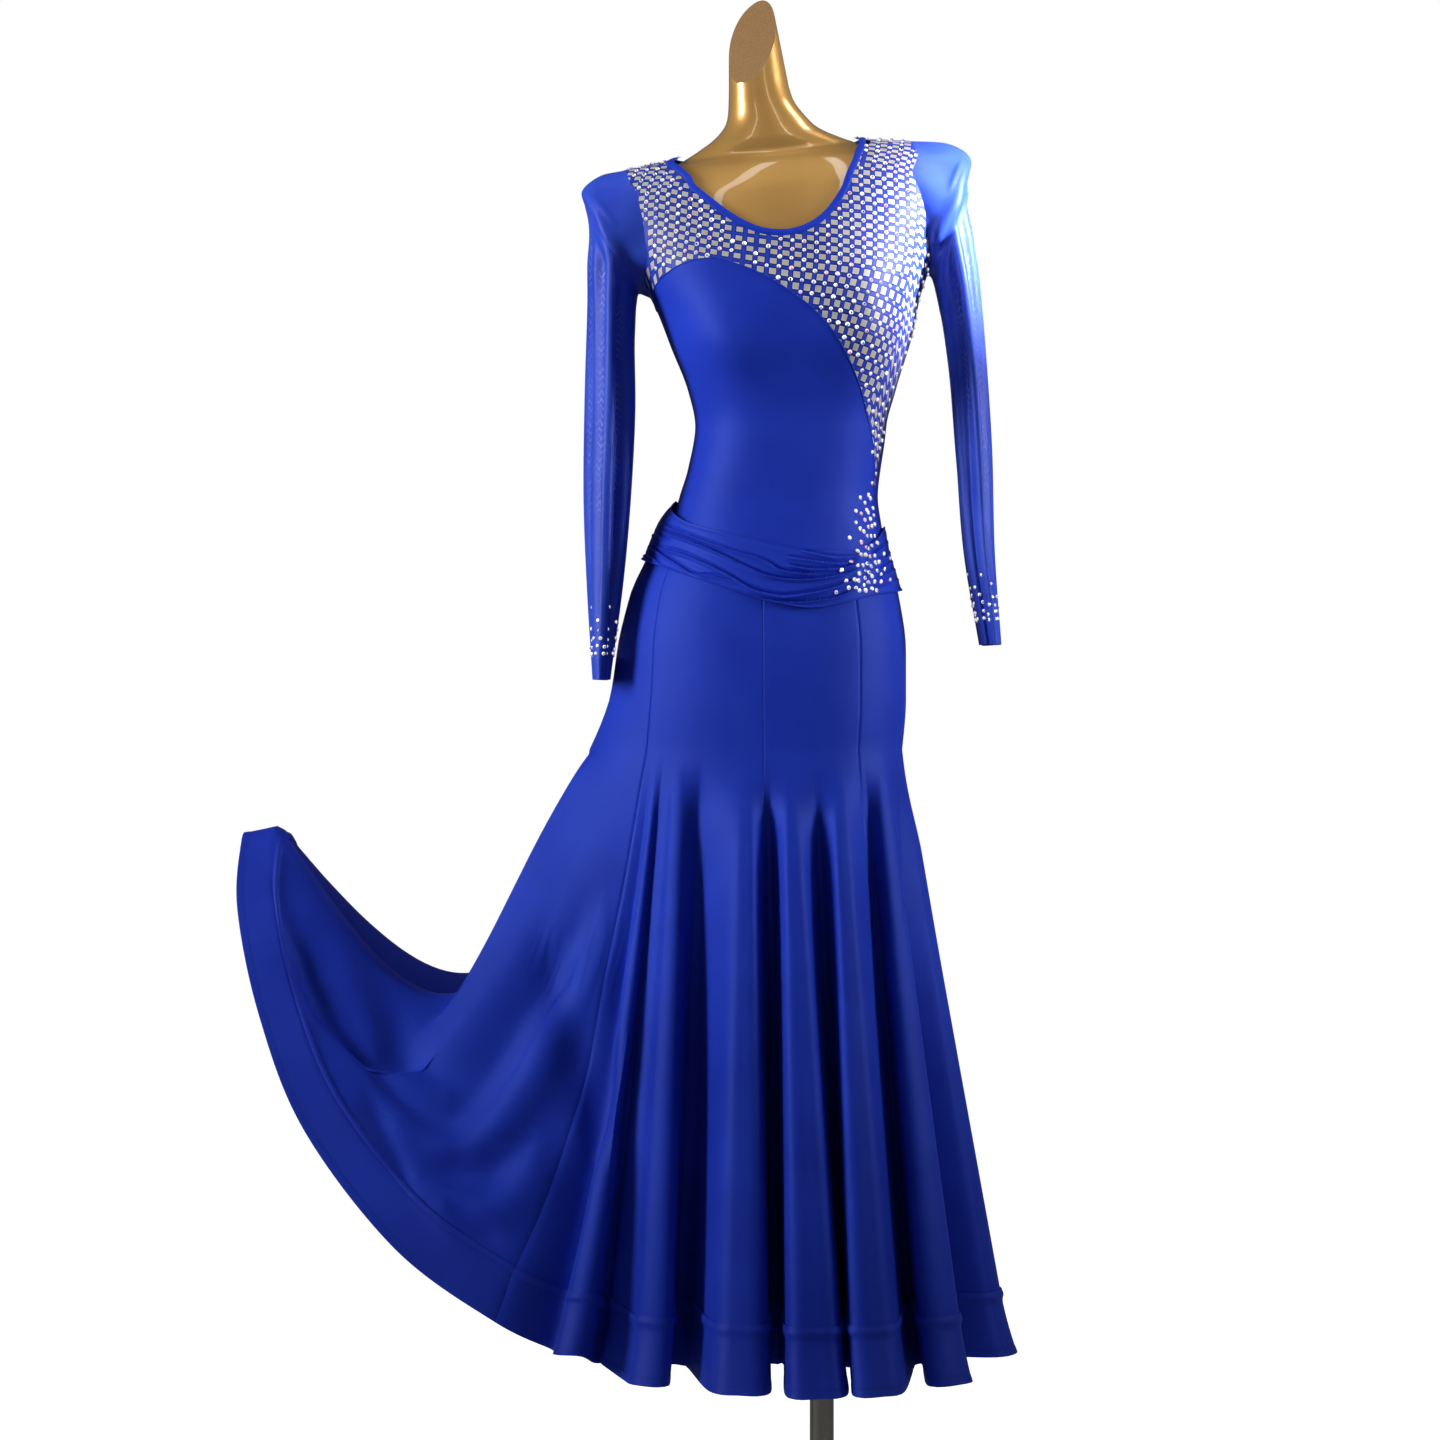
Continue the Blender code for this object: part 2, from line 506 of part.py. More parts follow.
def material(finish):
    found = bpy.data.materials.get(finish.name)
    if found:
        return found
    made = bpy.data.materials.new(finish.name)
    made.use_nodes = True
    shader = made.node_tree.nodes["Principled BSDF"]
    shader.inputs["Base Color"].default_value = finish.colour
    shader.inputs["Roughness"].default_value = finish.roughness
    shader.inputs["Metallic"].default_value = finish.metallic
    shader.inputs["Alpha"].default_value = finish.alpha
    made.diffuse_color = finish.colour
    return made


def add_object(collection, name, mesh, finish):
    mesh.materials.append(material(finish))
    obj = bpy.data.objects.new(name, mesh)
    collection.objects.link(obj)
    return obj


def wall(collection, name, inner, outer, finish, closed=False):
    """A cloth wall between two grids of points, rows by columns. closed joins the last column to the first.

    Both sheets split each face along the same, shorter diagonal, so that the wall keeps its thickness.
    """
    rows, columns = inner.shape[:2]
    index = np.arange(rows * columns).reshape(rows, columns)
    if closed:
        index = np.hstack([index, index[:, :1]])
    points, shift = inner.reshape(-1, 3), rows * columns
    a, b, c, d = (corner.ravel() for corner in (index[:-1, :-1], index[:-1, 1:], index[1:, 1:], index[1:, :-1]))
    turned = np.linalg.norm(points[a] - points[c], axis=1) > np.linalg.norm(points[b] - points[d], axis=1)
    first = np.where(turned, [a, b, d], [a, b, c]).T
    second = np.where(turned, [b, c, d], [a, c, d]).T
    sheet = np.vstack([first, second])
    faces = (sheet + shift).tolist() + sheet[:, ::-1].tolist()

    def rim(run):
        """Faces between the two sheets along an edge that has the wall on its left."""
        return np.stack([run[:-1], run[1:], run[1:] + shift, run[:-1] + shift], axis=-1).tolist()

    faces += rim(index[0]) + rim(index[-1, ::-1])
    if not closed:
        faces += rim(index[::-1, 0]) + rim(index[:, -1])
    mesh = bpy.data.meshes.new(name)
    mesh.from_pydata(np.vstack([points, outer.reshape(-1, 3)]).tolist(), [], faces)
    mesh.shade_smooth()
    return add_object(collection, name, mesh, finish)


# ---------------------------------------------------------------- bodice
def join(*runs):
    """Runs of places end to end, each dropping its first because the run before ends there."""
    return np.vstack([runs[0]] + [run[1:] for run in runs[1:]])


def turned_round(run):
    """The same places with their bearings a full turn on."""
    return run + np.array([360.0, 0.0])


class Seams:
    """The seams that the bodice's panels share, as runs of (bearing, climb) places, so that neighbours meet."""

    def __init__(self, body):
        self.body = body
        foot, left_pit = STYLE_FOOT_Z, SIDE_LEFT[-1].z
        tail, right_pit = STYLE_TAIL_Z, SIDE_RIGHT[-1].z
        self.left_low = self.side(SIDE_LEFT, WAIST_SEAM_Z, foot, LEFT_ROWS.low)
        self.left_high = self.side(SIDE_LEFT, foot, left_pit, LEFT_ROWS.high)
        self.right_low = self.side(SIDE_RIGHT, WAIST_SEAM_Z, tail, RIGHT_ROWS.low)
        self.right_high = self.side(SIDE_RIGHT, tail, right_pit, RIGHT_ROWS.high)
        self.style = body.path(STYLE_LINE, BODICE_COLUMNS, start=self.left_low[-1], end=self.right_low[-1])
        pit_left, pit_right = self.left_high[-1], self.right_high[-1]
        self.armhole_left = body.path(ARMHOLE_LEFT, LEFT_ROWS.armhole, start=pit_left)
        self.armhole_right = body.path(ARMHOLE_RIGHT, RIGHT_ROWS.armhole, start=pit_right)
        self.back_armhole_left = body.path(ARMHOLE_LEFT, LEFT_ROWS.back_armhole, True, start=pit_left + [360.0, 0.0])
        self.back_armhole_right = body.path(ARMHOLE_RIGHT, RIGHT_ROWS.back_armhole, True, start=pit_right)
        front, back = body.path(NECK_FRONT, 40), body.path(NECK_BACK, 30, back=True)
        loop = join(front, back)[:-1]
        edge = body.shifted(np.vstack([loop[-3:] - [360.0, 0.0], loop, turned_round(loop[:3])]), -BINDING_WIDTH)[3:-3]
        neck_columns = BODICE_COLUMNS - sum(SHOULDER_COLUMNS), BACK_COLUMNS - sum(SHOULDER_COLUMNS)
        self.neck_front = body.evenly(edge[:41], neck_columns[0])
        self.neck_back = body.evenly(np.vstack([edge[40:], turned_round(edge[:1])]), neck_columns[1])
        self.neck_edge = np.vstack([body.evenly(front, 2 * neck_columns[0])[:-1], body.evenly(back, 2 * neck_columns[1])[:-1]])

    def side(self, table, low, high, count):
        z = np.linspace(low, high, count + 1)
        return np.stack([smooth(column(table, "z"), column(table, "bearing"), z), self.body.climb_at(z)], axis=1)


def cloth_on(body, places, thick):
    points, normals = body.point(places[..., 0], places[..., 1]), body.normal(places[..., 0], places[..., 1])
    inner = inset(points, SEAM_GAP / 2)
    return inner, inner + normals * thick


def level(body, z, start, end, count):
    """A level run of places round the body."""
    return np.stack([np.linspace(start, end, count + 1), np.full(count + 1, body.climb_at(z))], axis=1)


def bodice(collection, body, seams):
    """The plain front, the check yoke and the back, which share the points of their seams."""
    left_columns, right_columns = SHOULDER_COLUMNS

    top = join(
        np.linspace(seams.armhole_left[-1], seams.neck_front[0], left_columns + 1),
        seams.neck_front,
        np.linspace(seams.neck_front[-1], seams.armhole_right[-1], right_columns + 1),
    )
    left, right = join(seams.left_high, seams.armhole_left), join(seams.right_high, seams.armhole_right)
    wall(collection, "bodice_front_check", *cloth_on(body, fill(seams.style, top, left, right), CLOTH), CHECK)

    waist = level(body, WAIST_SEAM_Z, SIDE_LEFT[0].bearing, SIDE_RIGHT[0].bearing, BODICE_COLUMNS)
    left, right = body.evenly(seams.left_low, FRONT_ROWS), body.evenly(seams.right_low, FRONT_ROWS)
    wall(collection, "bodice_front_plain", *cloth_on(body, fill(waist, seams.style, left, right), CLOTH), BLUE)

    waist = level(body, WAIST_SEAM_Z, SIDE_RIGHT[0].bearing, SIDE_LEFT[0].bearing + 360.0, BACK_COLUMNS)
    top = join(
        np.linspace(seams.back_armhole_right[-1], seams.neck_back[0], right_columns + 1),
        seams.neck_back,
        np.linspace(seams.neck_back[-1], seams.back_armhole_left[-1], left_columns + 1),
    )
    left = join(seams.right_low, seams.right_high, seams.back_armhole_right)
    right = join(turned_round(seams.left_low), turned_round(seams.left_high), seams.back_armhole_left)
    wall(collection, "bodice_back", *cloth_on(body, fill(waist, top, left, right), CLOTH), BLUE)


def halved(points):
    """A closed run of points with the middle of each step added, so that it keeps to the same straight steps."""
    middles = (points + np.roll(points, -1, axis=0)) / 2
    return np.stack([points, middles], axis=1).reshape(-1, points.shape[1])


def neck_binding(collection, body, seams):
    low = np.vstack([seams.neck_front[:-1], seams.neck_back[:-1]])
    places, top = halved(low), seams.neck_edge
    places[-1] = (low[-1] + turned_round(low[:1])[0]) / 2
    lower, upper = halved(body.point(low[:, 0], low[:, 1])), body.point(top[:, 0], top[:, 1])
    lower += unit(upper - lower) * SEAM_GAP / 2
    points = np.stack([lower, upper])
    normals = np.stack([body.normal(places[:, 0], places[:, 1]), body.normal(top[:, 0], top[:, 1])])
    wall(collection, "neck_binding", points, points + normals * BINDING_THICK, BINDING_BLUE, closed=True)


# ---------------------------------------------------------------- sleeves
def clear_of(body, points, gap):
    """Moves points out along the body's normal until each is at least gap outside it."""
    bearing, climb = np.meshgrid(np.linspace(-180, 180, 145), np.linspace(0.2, body.climbs[-1], 150))
    skin, out = body.point(bearing, climb).reshape(-1, 3), body.normal(bearing, climb).reshape(-1, 3)
    flat = points.reshape(-1, 3).copy()
    for _ in range(3):
        near = np.array([np.argmin(((skin - p) ** 2).sum(axis=1)) for p in flat])
        depth = ((flat - skin[near]) * out[near]).sum(axis=1)
        flat += out[near] * np.maximum(gap - depth, 0.0)[:, None]
    return flat.reshape(points.shape)


def sleeve(collection, body, name, sections, armhole_front, armhole_back):
    """An empty sleeve: sections from the armhole down to the cuff, each an oval between an outer and inner point."""
    front, back = len(armhole_front) - 1, len(armhole_back) - 1
    loop = np.vstack([armhole_front[::-1], armhole_back[1:-1]])
    turn = np.radians(
        np.concatenate([np.linspace(0.0, 180.0, front + 1)[:-1], np.linspace(180.0, 360.0, back + 1)[:-1]])
    )[:, None]
    rings = [body.point(loop[:, 0], loop[:, 1])]
    for row in sections:
        outer = np.array([row.outer_x, row.centre_y, row.outer_z])
        inner = np.array([row.inner_x, row.centre_y, row.inner_z])
        middle, reach = (outer + inner) / 2, (outer - inner) / 2
        drop = (sections[0].outer_z - row.outer_z) / (sections[0].outer_z - sections[-1].outer_z)
        fold = 1.0 + SLEEVE_FOLD * min(1.0, 3.0 * drop) * np.sin(SLEEVE_FOLDS * turn + 2.0 * drop)
        depth = np.array([0.0, -row.half_depth, 0.0])
        rings.append(middle + (reach * np.cos(turn) + depth * np.sin(turn)) * fold)
    grid = np.array(rings)
    grid[1:4] = clear_of(body, grid[1:4], 1.2 * MM)
    normals_at_seam = body.normal(loop[:, 0], loop[:, 1])
    if sections[0].outer_x > 0:  # keep the columns running the same way round on both sides
        grid, normals_at_seam = grid[:, ::-1], normals_at_seam[::-1]
    grid = grid[::-1]
    around = np.roll(grid, -1, axis=1) - np.roll(grid, 1, axis=1)
    normals = unit(np.cross(around, np.gradient(grid, axis=0)))
    grid[-1] += unit(grid[-2] - grid[-1]) * SEAM_GAP / 2
    normals[-1] = normals_at_seam
    wall(collection, name, grid, grid + normals * MESH_CLOTH, SHEER, closed=True)


# ---------------------------------------------------------------- sash and skirt
def drawn_out(bearing, z):
    """How far the cloth at the left hip is drawn out by the held tip of the skirt."""
    turn = (np.asarray(bearing, float) - PULL_BEARING + 180.0) % 360.0 - 180.0
    reach = smooth(column(HIP_PULL, "z"), column(HIP_PULL, "reach"), z)
    return reach * np.exp(-((turn / PULL_SPREAD) ** 2))


def fitted(body, bearing, z):
    """A point of the skirt over the hip: on the body, drawn out at the left."""
    point = body.point(bearing, body.climb_at(z))
    return point + np.stack([-drawn_out(bearing, z), np.zeros_like(point[..., 0]), np.zeros_like(point[..., 0])], -1)


def sash(collection, body):
    rows = 2 * SASH_PLEATS
    for name, start, end in (("front", SASH[0].bearing, SASH_JOIN), ("back", SASH_JOIN, SASH[-1].bearing)):
        columns = SASH_COLUMNS[name]
        bearing = np.linspace(start, end, columns + 1)[None, :]
        share = np.linspace(0.0, 1.0, rows + 1)[:, None]
        low = smooth(column(SASH, "bearing"), column(SASH, "low"), bearing)
        top = smooth(column(SASH, "bearing"), column(SASH, "top"), bearing)
        z = low + (top - low) * share
        bearing = bearing + 0 * share
        points = fitted(body, bearing, z)
        around = fitted(body, bearing + 0.5, z) - fitted(body, bearing - 0.5, z)
        normals = unit(np.cross(around, fitted(body, bearing, z + 0.002) - fitted(body, bearing, z - 0.002)))
        ridge = (np.arange(rows + 1) % 2)[:, None] * PLEAT_HEIGHT * (1.0 + 0.25 * np.sin(np.radians(bearing * 3)))
        ridge = ridge[..., None]
        inner = inset(points, SEAM_GAP / 2, ("left", "right")) + normals * (CLOTH + SASH_CLEAR + ridge * 0.8)
        outer = inner + normals * (CLOTH + ridge * 0.2)
        wall(collection, "sash_" + name, inner, outer, BLUE)


class Skirt:
    """The gored skirt: fitted down to the hip, then ruled to the fluted hem, with the held side's sag and creases."""

    def __init__(self, body):
        self.body = body
        plan, anchors = [], []
        for row in HEM:
            at = np.array([row.x, row.y, row.z])
            out = self.outward(at)
            side = np.array([-out[1], out[0], 0.0]) * abs(row.width) / 2
            back = out * row.width * 0.30
            anchors.append(len(plan) + (1 if row.width else 0))
            plan += [at - back - side, at, at - back + side] if row.width else [at]
        samples = 40
        run = spline(plan, samples, closed=True)
        self.hem = np.vstack([run, run[:1]])
        self.run = lengths(self.hem)
        self.length = self.run[-1]
        self.marks = np.append(self.run[np.array(anchors) * samples], self.length)
        self.bearings = np.append(column(HEM, "bearing"), HEM[0].bearing + 360.0)
        edge = np.stack([column(HEM, name) for name in "xyz"], axis=1)
        self.unfolded = (np.roll(edge, 1, axis=0) + 2 * edge + np.roll(edge, -1, axis=0)) / 4
        ahead = unit(np.roll(run, -4, axis=0) - np.roll(run, 4, axis=0))
        bend = np.linalg.norm(np.roll(ahead, -4, axis=0) - np.roll(ahead, 4, axis=0), axis=1)
        reach = np.linalg.norm(np.roll(run, -4, axis=0) - np.roll(run, 4, axis=0), axis=1)
        crowding = 1.2 + np.sqrt(bend / reach)
        self.crowded = np.concatenate([[0.0], np.cumsum(crowding * np.diff(self.run))])

    @staticmethod
    def outward(points):
        """Level direction away from the middle of the hem."""
        flat = points[..., :2] - np.array(HEM_CENTRE)
        return unit(np.concatenate([flat, np.zeros_like(flat[..., :1])], axis=-1))

    def bearing_at(self, along):
        return smooth(self.marks, self.bearings, along)

    def along_at(self, bearing):
        fine = np.linspace(0.0, self.length, 6000)
        return np.interp(bearing, self.bearing_at(fine), fine)

    def hem_at(self, along):
        return np.stack([np.interp(along, self.run, self.hem[:, k]) for k in range(3)], axis=-1)

    def wrap(self, values, along):
        return smooth(self.marks, np.append(values, values[0]), along)

    def point(self, along, drop):
        """drop runs from -1 at the waist seam through 0 at the hip to 1 at the hem."""
        along, drop = np.broadcast_arrays(np.asarray(along, float), np.asarray(drop, float))
        along = np.where(along > self.length, along - self.length, np.where(along < 0, along + self.length, along))
        bearing = self.bearing_at(along)
        z = HIP_Z + (WAIST_SEAM_Z - SEAM_GAP - HIP_Z) * np.clip(-drop, 0.0, 1.0)
        point = fitted(self.body, bearing, z)
        fall = np.clip(drop, 0.0, None)[..., None]
        start = np.clip(fall / FOLD_START, 0.0, 1.0)
        folded = fall * start * start * (3 - 2 * start)
        unfolded = np.stack([self.wrap(values, along) for values in self.unfolded.T], axis=-1)
        point = point + (unfolded - point) * fall + (self.hem_at(along) - unfolded) * folded
        share = np.clip(drop / ARCH_END, 0.0, 1.0)
        arch = np.sin(np.pi * share ** self.wrap(column(HEM, "skew"), along))
        point[..., 2] -= self.wrap(column(HEM, "sag"), along) * arch
        point[..., 1] += self.wrap(column(HEM, "bow"), along) * arch
        return point

    def normal(self, along, drop):
        around = self.point(np.add(along, 0.004), drop) - self.point(np.subtract(along, 0.004), drop)
        down = self.point(along, np.add(drop, 0.02)) - self.point(along, np.subtract(drop, 0.02))
        return unit(np.cross(down, around))

    def creased(self, along, drop):
        """Depth of the creases at a place of the skirt."""
        bearing, depth = self.bearing_at(along), 0.0
        for crease in CREASES:
            share = np.clip((bearing - crease.bearing_from) / (crease.bearing_to - crease.bearing_from), 0.0, 1.0)
            line = crease.drop_from + (crease.drop_to - crease.drop_from) * share
            depth = depth + crease.depth * np.sin(np.pi * share) * np.exp(-(((drop - line) / crease.spread) ** 2))
        return depth

    def gore_columns(self, number):
        """Places along the hem for a gore's columns, closest together where the hem bends most."""
        bearings = [gore.start for gore in GORES] + [GORES[0].start + 360.0]
        ends = self.along_at(np.array(bearings[number : number + 2]))
        crowded = np.linspace(*np.interp(ends, self.run, self.crowded), GORES[number].columns + 1)
        return np.interp(crowded, self.crowded, self.run)

    def build(self, collection):
        fit = np.linspace(-1.0, 0.0, FIT_ROWS + 1)[:-1]
        below = column(BAND_ROWS, "below")[::-1, None]
        thick = column(BAND_ROWS, "wall")[::-1, None, None]
        for number in range(len(GORES)):
            along = self.gore_columns(number)[None, :]
            drops = np.concatenate([fit, FLARE_DROPS])[::-1, None]
            normals = self.normal(along, drops)
            inner = self.point(along, drops) + normals * self.creased(along, drops)[..., None]
            inner = inset(inner, SEAM_GAP / 2, ("left", "right"))
            wall(collection, f"skirt_gore_{number + 1}", inner, inner + normals * CLOTH, BLUE)

            drops = 1.0 - HEM_BAND + below
            normals = self.normal(along, drops)
            flared = self.outward(self.hem_at(along)) * HEM_FLARE * ((below / HEM_BAND) ** 2)[..., None]
            inner = self.point(along, drops) + normals * self.creased(along, drops)[..., None] + flared
            inner = inset(inner, SEAM_GAP / 2, ("left", "right"))
            wall(collection, f"hem_band_{number + 1}", inner, inner + normals * thick, BINDING_BLUE)


# ---------------------------------------------------------------- form and stand
def form_torso(collection, body):
    """The form: the body surface drawn in under the cloth, closed below, with a slanted cut at the neck."""
    top = body.climbs[-1]
    fine = np.linspace(body.climb_at(FORM_FOOT_Z + 0.012), top, 2000)
    crowding = np.interp(body.value("z", fine), (1.06, 1.10, 1.40, 1.44), (0.7, 1.5, 1.5, 3.0))
    crowded = np.cumsum(crowding)
    climbs = np.interp(np.linspace(crowded[0], crowded[-1], FORM_ROWS + 1), crowded, fine)[:, None]
    bearing = (np.arange(FORM_COLUMNS) * 360.0 / FORM_COLUMNS)[None, :]
    gap = smooth(column(FORM_GAPS, "z"), column(FORM_GAPS, "gap"), body.value("z", climbs))[..., None]
    skin = body.point(bearing, climbs) - body.normal(bearing, climbs) * gap
    foot = skin[:1].copy()
    middle = foot.mean(axis=1, keepdims=True)
    foot = middle + (foot - middle) * 0.92
    foot[..., 2] = FORM_FOOT_Z
    neck = skin[-1:]
    cut = neck.copy()
    for _ in range(8):  # the width depends on the height, and the height on the width
        rise = (cut[..., :2] * np.array(NECK_CUT_RISE)).sum(axis=-1)
        cut[..., 2] = NECK_CUT_LOW + rise - rise.min()
        share = 1.0 - NECK_TAPER * (cut[..., 2:] - neck[..., 2:])
        cut[..., :2] = np.array(NECK_EDGE) + (neck[..., :2] - np.array(NECK_EDGE)) * share
    middle_neck = neck + (cut - neck) * 0.5
    rings = np.vstack([foot, skin, middle_neck, cut])
    count = rings.shape[0]
    index = np.arange(count * FORM_COLUMNS).reshape(count, FORM_COLUMNS)
    wrapped = np.hstack([index, index[:, :1]])
    faces = np.stack([wrapped[:-1, :-1], wrapped[:-1, 1:], wrapped[1:, 1:], wrapped[1:, :-1]], -1).reshape(-1, 4).tolist()
    faces += [index[0, ::-1].tolist(), index[-1].tolist()]
    mesh = bpy.data.meshes.new("form_torso")
    mesh.from_pydata(rings.reshape(-1, 3).tolist(), [], faces)
    mesh.shade_smooth()
    mesh.set_sharp_from_angle(angle=np.radians(50))
    add_object(collection, "form_torso", mesh, GOLD)


def turned(collection, name, profile, finish, steps):
    """A turned solid from a profile of (radius, height) that runs from the axis, down its outer side, to the axis."""
    mesh = bpy.data.meshes.new(name)
    points = [(radius, 0.0, height) for radius, height in profile]
    mesh.from_pydata(points, [(i, i + 1) for i in range(len(points) - 1)], [])
    obj = add_object(collection, name, mesh, finish)
    screw = obj.modifiers.new("turn", "SCREW")
    screw.steps = screw.render_steps = steps
    screw.use_merge_vertices = True
    screw.merge_threshold = 0.0001
    screw.use_smooth_shade = True
    return obj


def stand(collection):
    pole_foot = BASE_THICK + COLLAR_HEIGHT * 0.4
    bpy.ops.mesh.primitive_cylinder_add(
        vertices=24,
        radius=POLE_RADIUS,
        depth=FORM_FOOT_Z - SEAM_GAP - pole_foot,
        location=(0.0, 0.0, (FORM_FOOT_Z - SEAM_GAP + pole_foot) / 2),
    )
    pole = bpy.context.object
    pole.name = "stand_pole"
    pole.data.materials.append(material(STEEL))
    for owner in list(pole.users_collection):
        owner.objects.unlink(pole)
    collection.objects.link(pole)
    bore = POLE_RADIUS + SEAM_GAP
    turned(
        collection,
        "stand_base",
        (
            (0.0, pole_foot - SEAM_GAP),
            (bore, pole_foot - SEAM_GAP),
            (bore, BASE_THICK + COLLAR_HEIGHT),
            (COLLAR_RADIUS - 0.003, BASE_THICK + COLLAR_HEIGHT),
            (COLLAR_RADIUS, BASE_THICK + COLLAR_HEIGHT - 0.003),
            (COLLAR_RADIUS, BASE_THICK + 0.004),
            (COLLAR_RADIUS + 0.006, BASE_THICK),
            (BASE_RADIUS - 0.012, BASE_THICK - 0.004),
            (BASE_RADIUS - 0.002, BASE_THICK - 0.008),
            (BASE_RADIUS, 0.003),
            (BASE_RADIUS - 0.002, 0.0),
            (0.0, 0.0),
        ),
        STEEL,
        24,
    )


def main():
    collection = start_collection("ballroom_dress_on_form")
    body = Body(BODY, BUSTS)
    seams = Seams(body)
    bodice(collection, body, seams)
    neck_binding(collection, body, seams)
    sleeve(collection, body, "sleeve_left", SLEEVE_LEFT, seams.armhole_left, seams.back_armhole_left)
    sleeve(collection, body, "sleeve_right", SLEEVE_RIGHT, seams.armhole_right, seams.back_armhole_right)
    sash(collection, body)
    Skirt(body).build(collection)
    form_torso(collection, body)
    stand(collection)


main()
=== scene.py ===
"""A ballroom dance dress on a gold dress form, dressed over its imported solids.

Metres, +Z up. The dress faces -Y and +X is the viewer's right. The origin is the centre of the underside of the
stand's base. Bearings are in degrees round the body: 0 is the front, +90 the viewer's right, 180 the back and -90
the viewer's left, where the tip of the skirt is held out. A climb is a distance up the side of the body.
"""

import json
import logging
import sys
from dataclasses import dataclass, field
from enum import Enum
from typing import Any, Callable, NamedTuple, Sequence, TypeVar

import bpy
import numpy as np
from numpy.typing import NDArray
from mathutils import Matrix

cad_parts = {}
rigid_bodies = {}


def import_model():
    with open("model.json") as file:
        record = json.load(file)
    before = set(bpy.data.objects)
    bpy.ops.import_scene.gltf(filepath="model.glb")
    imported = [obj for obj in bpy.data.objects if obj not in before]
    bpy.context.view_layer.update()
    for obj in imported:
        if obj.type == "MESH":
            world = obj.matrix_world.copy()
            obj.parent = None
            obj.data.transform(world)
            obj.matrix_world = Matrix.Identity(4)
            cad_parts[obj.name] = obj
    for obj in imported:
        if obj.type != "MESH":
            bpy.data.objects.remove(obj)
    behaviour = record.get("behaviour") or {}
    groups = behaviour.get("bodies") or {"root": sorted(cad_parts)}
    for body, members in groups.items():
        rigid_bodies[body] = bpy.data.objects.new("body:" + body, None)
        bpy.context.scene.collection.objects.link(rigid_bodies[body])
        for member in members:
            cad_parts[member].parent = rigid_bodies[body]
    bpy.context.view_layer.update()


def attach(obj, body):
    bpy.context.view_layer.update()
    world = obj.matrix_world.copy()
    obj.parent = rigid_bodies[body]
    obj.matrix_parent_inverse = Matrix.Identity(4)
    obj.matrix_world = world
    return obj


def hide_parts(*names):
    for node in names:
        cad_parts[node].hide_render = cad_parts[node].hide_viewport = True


Array = NDArray[np.float64]
Colour = tuple[float, float, float]
Piece = bpy.types.Object
Material = bpy.types.Material
Row = TypeVar("Row")
LOG = logging.getLogger("dress")
MM = 0.001
SEED = 41

SEAM_GAP = 0.3 * MM
CLOTH = 1.2 * MM
MESH_CLOTH = 1.0 * MM
HIP_Z = 0.848
WAIST_SEAM_Z = 1.065
FORM_FOOT_Z = 0.862
HEM_BAND = 0.1
BODY_POWER = 2.2
METRES_PER_DEGREE = 0.0022
VIEW_DISTANCE = 4.0  # the front view that fold lines are laid out in is drawn from here
VIEW_POINT = (-0.114, 0.881)


# ---- tables of the garment
def table(kind: Callable[..., Row], *rows: tuple[Any, ...]) -> tuple[Row, ...]:
    """Rows of one kind, each from its values in the kind's own order."""
    return tuple(kind(*row) for row in rows)


class Ring(NamedTuple):
    """One level section of the body; lean is its rise towards +X."""

    z: float
    centre_x: float
    half_width: float
    front_depth: float
    back_depth: float
    lean: float


BODY = table(
    Ring,
    (0.84, -0.0538, 0.1418, 0.112, 0.12, 0), (0.904, -0.054, 0.147, 0.114, 0.124, 0),
    (0.96, -0.0541, 0.147, 0.112, 0.12, 0), (1.016, -0.055, 0.1406, 0.106, 0.11, 0),
    (1.072, -0.0525, 0.1225, 0.096, 0.096, 0), (1.1, -0.0509, 0.1162, 0.0915, 0.09, 0),
    (1.128, -0.0487, 0.1102, 0.088, 0.086, 0), (1.161, -0.0422, 0.1067, 0.0882, 0.0855, 0.002),
    (1.206, -0.035, 0.1057, 0.0912, 0.0865, 0.007), (1.25, -0.0331, 0.1151, 0.1, 0.092, 0.015),
    (1.305, -0.0346, 0.1341, 0.113, 0.1, 0.03), (1.35, -0.038, 0.1475, 0.112, 0.106, 0.045),
    (1.378, -0.04, 0.16, 0.106, 0.108, 0.055), (1.43, -0.044, 0.187, 0.093, 0.106, 0.07),
    (1.472, -0.05, 0.2075, 0.079, 0.098, 0.08), (1.491, -0.051, 0.214, 0.068, 0.09, 0.084),
    (1.5035, -0.053, 0.198, 0.059, 0.082, 0.09), (1.5105, -0.055, 0.16, 0.053, 0.074, 0.098),
    (1.519, -0.058, 0.102, 0.047, 0.062, 0.105), (1.531, -0.06, 0.07, 0.044, 0.052, 0.1),
    (1.548, -0.061, 0.049, 0.041, 0.044, 0.07), (1.575, -0.0683, 0.037, 0.036, 0.037, 0.03),
    (1.59, -0.0705, 0.0345, 0.034, 0.034, 0),
)


class Bust(NamedTuple):
    """A soft swelling of the body's front."""

    bearing: float
    z: float
    bearing_spread: float
    z_spread: float
    fullness: float


BUSTS = (Bust(-38.0, 1.3, 24.0, 0.05, 0.013), Bust(38.0, 1.31, 24.0, 0.05, 0.013))


class Level(NamedTuple):
    """A number that belongs to one height."""

    z: float
    value: float


FORM_GAPS = table(  # distance from the form's skin to the cloth over it
    Level,
    (0.85, 1.8 * MM), (1.05, 1.8 * MM), (1.12, 3.4 * MM), (1.21, 4 * MM), (1.3, 4 * MM), (1.38, 3.6 * MM),
    (1.44, 5.4 * MM), (1.5, 6.5 * MM), (1.516, 6.2 * MM), (1.522, 2.8 * MM), (1.53, 1.2 * MM), (1.6, 0.9 * MM),
)


class EdgePoint(NamedTuple):
    """A point of a seam: x and z on the front or back, or x and y on top of the shoulder."""

    x: float
    z: float | None = None
    y: float | None = None


